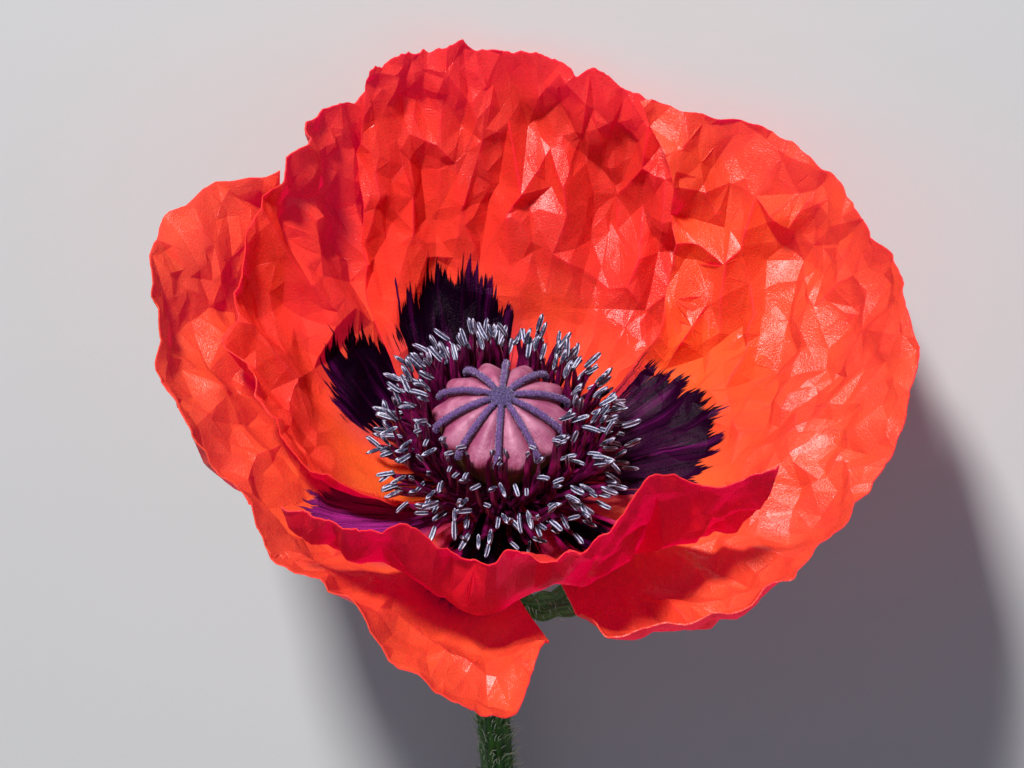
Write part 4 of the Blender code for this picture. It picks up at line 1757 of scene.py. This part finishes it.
@dataclass(frozen=True)
class Stamens:
    """The boss of stamens round the pod: dark threads in tiers, each with its split anther."""

    tiers: tuple[Tier, ...] = (
        Tier(56, (12.8, 5.0), (12.9, 18.0), 55.0),
        Tier(62, (14.2, 5.0), (15.6, 15.9), 38.0),
        Tier(64, (14.6, 4.0), (17.8, 12.6), 25.0),
        Tier(64, (14.2, 3.0), (18.8, 8.9), 12.0),
        Tier(56, (13.6, 2.2), (18.6, 5.4), 0.0),
    )
    root: Pair = (6.1, 1.0)
    filament: float = 0.36
    segments: int = 12
    sides: int = 6
    swell: Four = (0.1, 0.7, 0.75, 1.15)
    neck: Four = (0.84, 1.0, 1.0, 0.3)
    anther: Triple = (0.50, 0.42, 1.7)
    anther_grid: tuple[int, int] = (8, 7)
    anther_groove: Four = (0.0, 0.55, 0.45, 1.0)
    anther_foot: float = 0.75
    anther_nod: float = 0.45
    anther_stray: float = 0.5
    anther_size: Pair = (0.8, 1.15)
    tier_turn: float = 0.37
    stray: float = 0.42
    lean: float = math.radians(5.0)
    size: Pair = (0.93, 1.07)
    wander: float = 3.0
    wander_scale: float = 0.16
    wander_from: Pair = (7.0, 14.0)
    seed: int = 71
    seat: tuple[Pair, ...] = (
        (4.9, 0.3), (6.6, 0.25), (7.2, 0.7), (7.0, 1.4), (6.2, 1.9), (5.3, 1.8), (4.8, 1.2),
    )
    seat_sides: int = 96
    seat_wave: Pair = (0.012, 31)
    filament_finish: FilamentFinish = FilamentFinish()
    anther_finish: AntherFinish = AntherFinish()

    def tier_inputs(self) -> list[dict[str, Any]]:
        """Lists what both trees are told of each tier.

        Returns:
            The named inputs, one dictionary a tier.
        """
        return [
            {
                "Count": tier.count,
                "Turn": self.tier_turn * number,
                "Stray": self.stray,
                "Lean": self.lean,
                "Seed": self.seed + 100 * number,
                "Wander": self.wander,
                "Tip": (tier.tip[0], 0.0, tier.tip[1]),
            }
            for number, tier in enumerate(self.tiers)
        ]

    def places(self) -> NodeTree:
        """Builds the group that spreads stamens round the axis, the same for both trees.

        Returns:
            The group, which gives their points, turns and sizes.
        """
        told = self.tier_inputs()[0]
        tree = Growth("stamen_places", {key: told[key] for key in SPREAD})
        given = tree.given
        points = tree.read("GeometryNodePoints", {"Count": given["Count"]})
        number = tree.read("GeometryNodeInputIndex")
        away, tilt, sway = (tree.random(-1.0, 1.0, salt) for salt in (1, 2, 3))
        place = tree.plus(tree.plus(number, tree.times(away, given["Stray"])), given["Turn"])
        azimuth = tree.times(tree.maths("DIVIDE", place, given["Count"]), math.tau)
        angles = tree.joined(X=tree.times(sway, given["Lean"]), Y=tree.times(tilt, given["Lean"]), Z=azimuth)
        turn = tree.read("FunctionNodeEulerToRotation", {"Euler": angles})
        size = tree.random(*self.size, 4)
        scale = tree.joined(X=size, Y=size, Z=size)
        spots = {"Points": (Kind.GEOMETRY, points), "Rotation": (Kind.ROTATION, turn)}
        return tree.give(**spots, Scale=(Kind.VECTOR, scale))

    def spread(self, tree: Growth, places: NodeTree, shape: Socket) -> Socket:
        """Repeats a shape at a tier's places, and lets it wander a little off its even row.

        Args:
            tree: the tree to add to.
            places: the group that gives the places.
            shape: the shape, on the +X side of the axis.

        Returns:
            All the tier's shapes, made real.
        """
        told = {key: tree.given[key] for key in SPREAD}
        group = tree.add("GeometryNodeGroup", told, node_tree=places).outputs
        copies = tree.copies(group["Points"], shape, group["Rotation"], group["Scale"])
        real = tree.read("GeometryNodeRealizeInstances", {"Geometry": copies})
        place = tree.place()
        cells = {"Vector": place, "Scale": self.wander_scale, "Detail": 1.0}
        centred = tree.vector("SUBTRACT", tree.read("ShaderNodeTexNoise", cells, "Color"), (0.5, 0.5, 0.5))
        flat = tree.vector("MULTIPLY", place, (1.0, 1.0, 0.0))
        radius = tree.read("ShaderNodeVectorMath", {0: flat}, "Value", operation="LENGTH")
        wander = tree.times(tree.rise(radius, *self.wander_from), tree.given["Wander"])
        return tree.moved(real, Offset=tree.scaled(centred, wander))

    def threads(self, places: NodeTree, material: Material) -> Mesh:
        """Grows threads that bend outwards, thicken towards their upper end and narrow to a neck.

        Args:
            places: the group that gives their places.
            material: their finish.

        Returns:
            Their mesh.
        """
        own = {"Root": (self.root[0], 0.0, self.root[1]), "Radius": self.filament, "Material": material}
        own |= {"Segments": self.segments, "Sides": self.sides}
        bends = [{"Bend": (tier.bend[0], 0.0, tier.bend[1])} for tier in self.tiers]
        passes = [told | own | bend for told, bend in zip(self.tier_inputs(), bends)]
        tree = Growth("filaments", passes[0])
        given = tree.given
        ends = {"Start": given["Root"], "Middle": given["Bend"], "End": given["Tip"]}
        line = tree.read("GeometryNodeCurveQuadraticBezier", {"Resolution": given["Segments"], **ends})
        along = tree.read("GeometryNodeSplineParameter", output="Factor")
        slim = tree.times(tree.rise(along, *self.swell), tree.rise(along, *self.neck))
        ring = {"Resolution": given["Sides"], "Radius": 1.0}
        ring = tree.read("GeometryNodeCurvePrimitiveCircle", ring, "Curve")
        radius = tree.times(slim, given["Radius"])
        values = {"Curve": line, "Profile Curve": ring, "Scale": radius, "Fill Caps": True}
        thread = tree.read("GeometryNodeCurveToMesh", values)
        return tree.grow("stamen_threads", passes, given["Geometry"], self.spread(tree, places, thread))

    def lobed(self, tree: Growth) -> Socket:
        """Shapes one anther along +Z: two lobes with a groove between them.

        Args:
            tree: the tree to add to.

        Returns:
            The anther, which carries its own places for its finish.
        """
        place = tree.place()
        ball = tree.stored(tree.ball(*self.anther_grid), "anther_place", place, data_type="FLOAT_VECTOR")
        side = tree.maths("ABSOLUTE", tree.split(place)["X"])
        pinch = tree.joined(X=1.0, Y=tree.rise(side, *self.anther_groove), Z=1.0)
        shape = tree.vector("MULTIPLY", tree.vector("MULTIPLY", place, pinch), tree.given["Size"])
        return tree.moved(ball, Position=tree.vector("ADD", shape, (0.0, 0.0, self.anther_foot)))

    def anthers(self, places: NodeTree, material: Material) -> Mesh:
        """Grows anthers at the ends of the same threads, pointing outwards with some stray.

        Args:
            places: the group that gives the threads' places.
            material: their finish.

        Returns:
            Their mesh.
        """
        own = {"Size": self.anther, "Material": material}
        rises = [{"Rise": math.radians(tier.anther_rise)} for tier in self.tiers]
        passes = [told | own | rise for told, rise in zip(self.tier_inputs(), rises)]
        tree = Growth("anthers", passes[0])
        given = tree.given
        tip = tree.read("GeometryNodePoints", {"Count": 1, "Position": given["Tip"]})
        tips = tree.stored(self.spread(tree, places, tip), "anther_tone", tree.random(0.0, 1.0, 21))
        flat = tree.vector("NORMALIZE", tree.vector("MULTIPLY", tree.place(), (1.0, 1.0, 0.0)))
        rise = tree.plus(given["Rise"], tree.random(-self.anther_nod, self.anther_nod, 22))
        upward = tree.joined(Z=tree.maths("SINE", rise))
        aim = tree.vector("ADD", tree.scaled(flat, tree.maths("COSINE", rise)), upward)
        aim = {"Vector": tree.vector("ADD", aim, tree.strays(self.anther_stray, 23))}
        turn = tree.read("FunctionNodeAlignRotationToVector", aim, axis="Z")
        spin = {"Axis": (0.0, 0.0, 1.0), "Angle": tree.random(0.0, math.tau, 27)}
        spin = tree.read("FunctionNodeAxisAngleToRotation", spin)
        values = {"Rotation": turn, "Rotate By": spin}
        turn = tree.read("FunctionNodeRotateRotation", values, rotation_space="LOCAL")
        anthers = tree.copies(tips, self.lobed(tree), turn, tree.random(*self.anther_size, 28))
        return tree.grow("stamen_anthers", passes, given["Geometry"], anthers)

    def seat_ring(self) -> Shape:
        """Shapes the rounded ring that every thread grows from.

        Returns:
            The closed ring.
        """
        angle = circle(self.seat_sides)
        wave = 1 + self.seat_wave[0] * np.sin(self.seat_wave[1] * angle)
        radius, height = np.array(self.seat).T
        points = polar((wave[:, None] * radius), angle[:, None], np.tile(height, (self.seat_sides, 1)))
        faces = ring_faces(self.seat_sides, len(self.seat), closed=True)
        return Shape(points.reshape(-1, 3), flipped(faces))

    def build(self) -> list[Object]:
        """Builds threads, anthers and the ring they grow from, which together stand for the stamens.

        Returns:
            The three pieces.
        """
        places = self.places()
        gloss, seams = self.filament_finish.material(), self.anther_finish.material()
        return [
            piece("stamen_threads", self.threads(places, gloss), node="stamens"),
            piece("stamen_anthers", self.anthers(places, seams), node="stamens"),
            piece("stamen_seat", self.seat_ring().mesh("stamen_seat"), gloss, "stamens"),
        ]


# Stem and bract


@dataclass(frozen=True)
class Bristles:
    """Stiff hairs that lean along the stem towards the bloom."""

    density: float = 0.80
    length: float = 3.0
    radius: float = 0.13
    tip_radius: float = 0.025
    segments: int = 3
    lean: float = 2.3
    lean_range: Pair = (0.35, 1.25)
    stray: float = 0.35
    bow: float = 0.35
    size: Pair = (0.5, 1.15)
    seed: int = 12
    finish: BristleFinish = BristleFinish()

    def over(self, name: str, base: Mesh, slot: str) -> Object:
        """Grows tapered hairs over a mesh in the bloom's frame, between its normals and the bloom's axis.

        Args:
            name: name of the piece.
            base: the surface, which is used up.
            slot: not used.

        Returns:
            The piece of hairs alone.
        """
        settings = {
            "Density": self.density,
            "Length": self.length,
            "Radius": self.radius,
            "Lean": self.lean,
            "Seed": self.seed,
            "Material": self.finish.material(),
        }
        tree = Growth("bristles", settings)
        given = tree.given
        spots = tree.scattered(given["Geometry"])
        upward = tree.joined(Z=tree.times(given["Lean"], tree.random(*self.lean_range, 8)))
        aim = tree.vector("ADD", tree.vector("ADD", spots["Normal"], upward), tree.strays(self.stray, 5))
        turn = tree.read("FunctionNodeAlignRotationToVector", {"Vector": aim}, axis="Z")
        ends = {"Radius Top": self.tip_radius, "Radius Bottom": given["Radius"]}
        cone = {"Vertices": 4, "Side Segments": self.segments, **ends, "Depth": given["Length"]}
        hair = tree.read("GeometryNodeMeshCone", cone, "Mesh", fill_type="NGON")
        up = tree.maths("DIVIDE", tree.split(tree.place())["Z"], given["Length"])
        hair = tree.stored(hair, "bristle_tip", up)
        hair = tree.moved(hair, Offset=tree.joined(X=tree.times(tree.times(up, up), self.bow)))
        hairs = tree.copies(spots["Points"], hair, turn, tree.random(*self.size, 9))
        obj = piece(name, tree.grow(name, [settings], hairs, base=base))
        keep_off_ground(obj.data)
        return obj


@dataclass(frozen=True)
class Stem:
    """The cut stem: a swollen receptacle with its scars, a ribbed shaft and a cut end with pith."""

    length: float = 150.0
    radius: float = 2.9
    rings: int = 22
    bend: float = math.radians(15.0)
    lean: float = math.radians(2.5)
    sway: float = math.radians(6.0)
    neck: float = 34.0
    head: tuple[Pair, ...] = ((6.0, 0.0), (6.0, -3.1), (5.4, -6.2), (3.9, -9.85))
    shaft_top: float = -13.0
    sides: int = 60
    rows: int = 260
    ribs: int = 9
    rib_depth: float = 0.10
    rib_twist: float = 0.02
    rib_fade: Pair = (-9.0, -16.0)
    flatness: float = 0.02
    scars: tuple[Pair, ...] = ((-6.4, 0.28), (-7.5, 0.16))
    scar_width: float = 0.42
    scar_stain: Pair = (-6.9, 1.1)
    cut: tuple[Pair, ...] = ((0.97, 0.03), (0.8, 0.02), (0.62, -0.10), (0.4, -0.16), (0.2, -0.55))
    bare_above: float = -12.0
    finish: StemFinish = StemFinish()
    bristles: Bristles = Bristles()

    def line(self) -> tuple[Array, Array]:
        """Draws the centre line that the solid follows, from the bloom to the cut.

        Returns:
            Its points and its radii.
        """
        share = np.linspace(0, 1, self.rings)
        curve = np.clip((share * self.length - self.neck) / (self.length - self.neck), 0, 1)
        bend = curve * self.bend
        sway = np.sin(curve * math.pi) * self.sway - self.lean
        heading = np.stack([np.sin(sway), -np.sin(bend), -np.cos(bend)], axis=1)
        steps = (heading[1:] + heading[:-1]) / 2 * self.length / (self.rings - 1)
        shaft = np.vstack([[0, 0, 0], np.cumsum(steps, axis=0)])
        shaft = shaft[shaft[:, 2] < self.shaft_top]
        head = np.array([(0, 0, z) for _, z in self.head])
        radii = [r for r, _ in self.head] + [self.radius] * len(shaft)
        return np.vstack([head, shaft]), np.array(radii)

    def skin(self) -> Shape:
        """Shapes the stem's skin, finely divided, with its ribs, scars and cut end.

        Returns:
            The closed skin.
        """
        knots, radii = self.line()
        step = np.linalg.norm(np.diff(knots, axis=0), axis=1)
        reach = np.concatenate([[0], np.cumsum(step)])
        want = np.linspace(0, reach[-1], self.rows)
        where = np.interp(want, reach, np.linspace(0, 1, len(knots)))
        path = catmull_rom(knots, where)
        radius = catmull_rom(radii[:, None], where)[:, 0]
        for place, height in self.scars:
            radius += height * bump(path[:, 2], place, self.scar_width)
        angle = circle(self.sides)
        shaft = smooth_step(*self.rib_fade, path[:, 2])[:, None]
        wave = self.rib_depth * np.cos(self.ribs * angle + self.rib_twist * want[:, None]) * shaft
        flatter = 1 - self.flatness * (1 + np.cos(2 * angle))
        rings = tube(path, (radius[:, None] + wave - self.rib_depth * shaft) * flatter, self.sides)
        points, cut_faces = self.cut_end(rings[-1], self.rows * self.sides)
        scar = np.repeat(bump(path[:, 2], *self.scar_stain), self.sides)
        fields = {
            "cut": np.append(np.zeros(len(scar)), np.ones(len(points))),
            "scar": np.append(scar, np.zeros(len(points))),
        }
        fan = grid_map(want / self.length, np.arange(self.sides) / self.sides)
        fan = np.vstack([fan, np.full((len(points), 2), 0.5)])
        faces = ring_faces(self.rows, self.sides) + cut_faces + [tuple(reversed(range(self.sides)))]
        return Shape(np.vstack([rings.reshape(-1, 3), points]), faces, fields, fan)

    def cut_end(self, rim: Array, first: int) -> tuple[Array, Faces]:
        """Rings over the cut: a pale rim, a sunken band of vessels and a hollow middle.

        Args:
            rim: the last ring of the skin.
            first: number of the first new point.

        Returns:
            The new points, and the faces that join them to the rim.
        """
        centre = rim.mean(axis=0)
        outward = unit(centre - self.line()[0][-2])
        points = [centre + (rim - centre) * share + outward * depth for share, depth in self.cut]
        faces = [tuple(first - len(rim) + k for k in face) for face in ring_faces(len(points) + 1, len(rim))]
        last = first + (len(points) - 1) * len(rim)
        faces.append(tuple(range(last, last + len(rim))))
        return np.vstack(points), faces

    def shaft(self, mesh: Mesh) -> Mesh:
        """Leaves only the shaft's skin, below the receptacle and above the cut.

        Args:
            mesh: the whole skin, which is used up.

        Returns:
            The open shaft, where hairs grow.
        """
        keep = [f for f in mesh.polygons if len(f.vertices) == 4 and max(f.vertices) < self.rows * self.sides]
        keep = [f for f in keep if mesh.vertices[f.vertices[0]].co.z < self.bare_above]
        bare = bpy.data.meshes.new("stem_shaft")
        bare.from_pydata([v.co.copy() for v in mesh.vertices], [], [tuple(f.vertices) for f in keep])
        bpy.data.meshes.remove(mesh)
        return bare

    def build(self) -> list[Object]:
        """Builds the stem and its bristles.

        Returns:
            Both pieces.
        """
        shape = self.skin()
        hairy = shape.mesh("stem_hairs")
        obj = piece("stem_skin", shape.mesh("stem_skin"), self.finish.material(), "stem")
        keep_off_ground(obj.data, 0.0)
        return [obj, self.bristles.over("stem_bristles", self.shaft(hairy), "stem")]


@dataclass(frozen=True)
class Bract:
    """The small toothed leaf that rises from the stem, under the bowl's open side."""

    line: tuple[Triple, ...] = (
        (2.2, -2.8, -31.0), (7.0, -8.0, -25.0), (13.2, -11.2, -18.0),
        (19.6, -12.0, -12.6), (25.6, -11.4, -9.8),
    )
    foot: Triple = (0.3, -1.3, -33.2)
    foot_rows: int = 12
    facing: Triple = (0.0, -0.6, 0.8)
    width: float = 5.6
    narrow: float = 0.3
    widest: Pair = (0.1, 0.86)
    point: float = 0.85
    point_along: Pair = (1.02, 0.93)
    cup: float = 3.0
    keel: float = 0.35
    keel_width: float = 0.07
    twist: Pair = (0.5, 9)
    teeth: int = 6
    tooth: float = 0.26
    tooth_curve: float = 1.4
    across: int = 41
    along: int = 150
    thickness: float = 0.45
    foot_thickness: float = 1.35
    edge_thinning: float = 1.3
    thinnest: float = 0.16
    finish: BractFinish = BractFinish()
    bristles: Bristles = Bristles(density=0.9, length=1.8, radius=0.06, lean=0.8, seed=33)

    def build(self) -> list[Object]:
        """Builds the leaf and its hairs.

        Returns:
            Both pieces.
        """
        share = np.append(np.zeros(self.foot_rows), np.linspace(0, 1, self.along))
        line = catmull_rom(self.line, share)
        fade = np.append(np.linspace(1, 0, self.foot_rows, endpoint=False), np.zeros(self.along))[:, None]
        line += (np.array(self.foot) - line[0]) * fade
        heading = np.gradient(line, axis=0)
        sideways = unit(np.cross(heading, self.facing))
        upward = unit(np.cross(sideways, heading))
        phase = share * self.teeth
        teeth = 1 - self.tooth * np.abs(2 * (phase - np.floor(phase)) - 1) ** self.tooth_curve
        start, rest = self.widest
        swell = self.narrow + (1 - self.narrow) * np.sin(math.pi * (start + rest * share))
        width = self.width * swell * teeth
        width *= smooth_step(*self.point_along, share) * self.point + (1 - self.point)
        side = np.linspace(-0.5, 0.5, self.across)[:, None]
        keel = self.keel * bump(side, 0.0, self.keel_width) * (1 - share)
        twist = self.twist[0] * np.sin(self.twist[1] * share) * side
        lift = self.cup * side**2 - keel + twist
        grid = line + sideways * width[:, None] * side[..., None] + upward * lift[..., None]
        thinning = 1 - self.edge_thinning * np.abs(side)
        thickness = self.thickness * (self.foot_thickness - share)[None] * thinning
        lift = surface_normals(grid) * np.maximum(thickness, self.thinnest)[..., None] / 2
        fan = grid_map(np.linspace(0, 1, self.across), share)[:, ::-1]
        faces = grid_triangles(self.across, len(share))
        shape = blade(grid.reshape(-1, 3), lift.reshape(-1, 3), faces, {}, fan)
        leaf = piece("bract_leaf", shape.mesh("bract_leaf"), self.finish.material(), "bract")
        return [leaf, self.bristles.over("bract_bristles", shape.mesh("bract_hairs"), "bract")]


# Studio


@dataclass(frozen=True)
class Studio:
    """A pale floor, soft light from where the bloom faces, and the camera at the photograph's angle."""

    aim: Triple = (1.6, 10.8, 9.07)
    elevation: float = math.radians(50.0)
    lens: float = 200.0
    sensor: float = 36.0
    field: float = 0.165
    far_clip: float = 20.0
    key_way: Triple = (-0.24, -0.13, 0.96)
    key_size: float = 0.30
    key_reach: float = 2.4
    key_power: float = 9.1
    key_spread: float = math.radians(50.0)
    fill_place: Triple = (0.1, 0.1, 1.4)
    fill_size: float = 1.2
    fill_power: float = 0.6
    sky: Colour = (0.72, 0.78, 1.0)
    sky_strength: float = 0.25
    floor_half: float = 3.0
    paper: Colour = (0.5, 0.5, 0.49)
    shade: Colour = (0.42, 0.42, 0.42)
    shade_depth: float = 0.06
    patch: Triple = (60.0, 0.2, 0.8)
    grain: Pair = (1.2, 0.6)
    relief: Pair = (0.05, 0.2)
    roughness: float = 0.85

    def floor(self) -> None:
        """Lays the floor, which isn't part of the object."""
        mesh = bpy.data.meshes.new("floor")
        half = self.floor_half
        corners = [(-half, -half, 0), (half, -half, 0), (half, half, 0), (-half, half, 0)]
        mesh.from_pydata(corners, [], [(0, 1, 2, 3)])
        paint = Paint("floor_paper")
        colour = paint.blend(paint.times(paint.mottle(*self.patch), self.shade_depth), self.paper, self.shade)
        normal = paint.relief(paint.grain(*self.grain), *self.relief)
        mesh.materials.append(paint.done(paint.skin(colour, self.roughness, normal)))
        obj = bpy.data.objects.new("floor", mesh)
        bpy.context.scene.collection.objects.link(obj)

    @staticmethod
    def lamp(
        name: str, place: Vector, target: Vector, size: float, power: float, spread: float = math.pi
    ) -> None:
        """Hangs a square lamp that the camera doesn't see.

        Args:
            name: name of the lamp.
            place: where it hangs.
            target: what it points at.
            size: its side in metres.
            power: its power in watts.
            spread: how wide it shines, in radians.
        """
        light = bpy.data.lights.new(name, "AREA")
        light.shape, light.size, light.energy, light.spread = "SQUARE", size, power, spread
        obj = bpy.data.objects.new(name, light)
        obj.location = place
        obj.rotation_euler = (place - target).to_track_quat("Z", "Y").to_euler()
        obj.visible_camera = False
        bpy.context.scene.collection.objects.link(obj)

    def light(self) -> None:
        """Hangs the key and fill lamps and sets the sky."""
        centre = RESTING.point(self.aim)
        far = centre + RESTING.direction(self.key_way) * self.key_reach
        self.lamp("key", far, centre, self.key_size, self.key_power, self.key_spread)
        self.lamp("fill", centre + Vector(self.fill_place), centre, self.fill_size, self.fill_power)
        world = bpy.data.worlds.new("sky")
        world.use_nodes = True
        background = world.node_tree.nodes["Background"]
        background.inputs["Color"].default_value = (*self.sky, 1.0)
        background.inputs["Strength"].default_value = self.sky_strength
        bpy.context.scene.world = world

    def camera(self) -> None:
        """Sets the camera, level with the bloom's own up direction, as in the photograph."""
        away = RESTING.direction((0.0, -math.cos(self.elevation), math.sin(self.elevation)))
        up = RESTING.direction((0.0, math.sin(self.elevation), math.cos(self.elevation)))
        data = bpy.data.cameras.new("camera")
        data.lens = self.lens
        data.clip_end = self.far_clip
        obj = bpy.data.objects.new("camera", data)
        turn = Matrix((up.cross(away), up, away)).transposed().to_4x4()
        distance = self.field * self.lens / self.sensor
        obj.matrix_world = Matrix.Translation(RESTING.point(self.aim) + away * distance) @ turn
        bpy.context.scene.collection.objects.link(obj)
        bpy.context.scene.camera = obj

    def build(self) -> None:
        """Sets up the studio and its plain colour management."""
        self.floor()
        self.light()
        self.camera()
        bpy.context.scene.view_settings.view_transform = "Standard"


def main() -> None:
    """Builds the poppy's sub-assemblies in order, then the studio round it."""
    logging.basicConfig(level=logging.INFO, format="%(message)s")
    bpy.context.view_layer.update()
    for assembly in (Petals(), Stem(), Bract(), Stamens(), SeedPod(), Stigma()):
        for obj in assembly.build():
            log.info("made %s", obj.name)
    Studio().build()


if __name__ == "__main__":
    main()
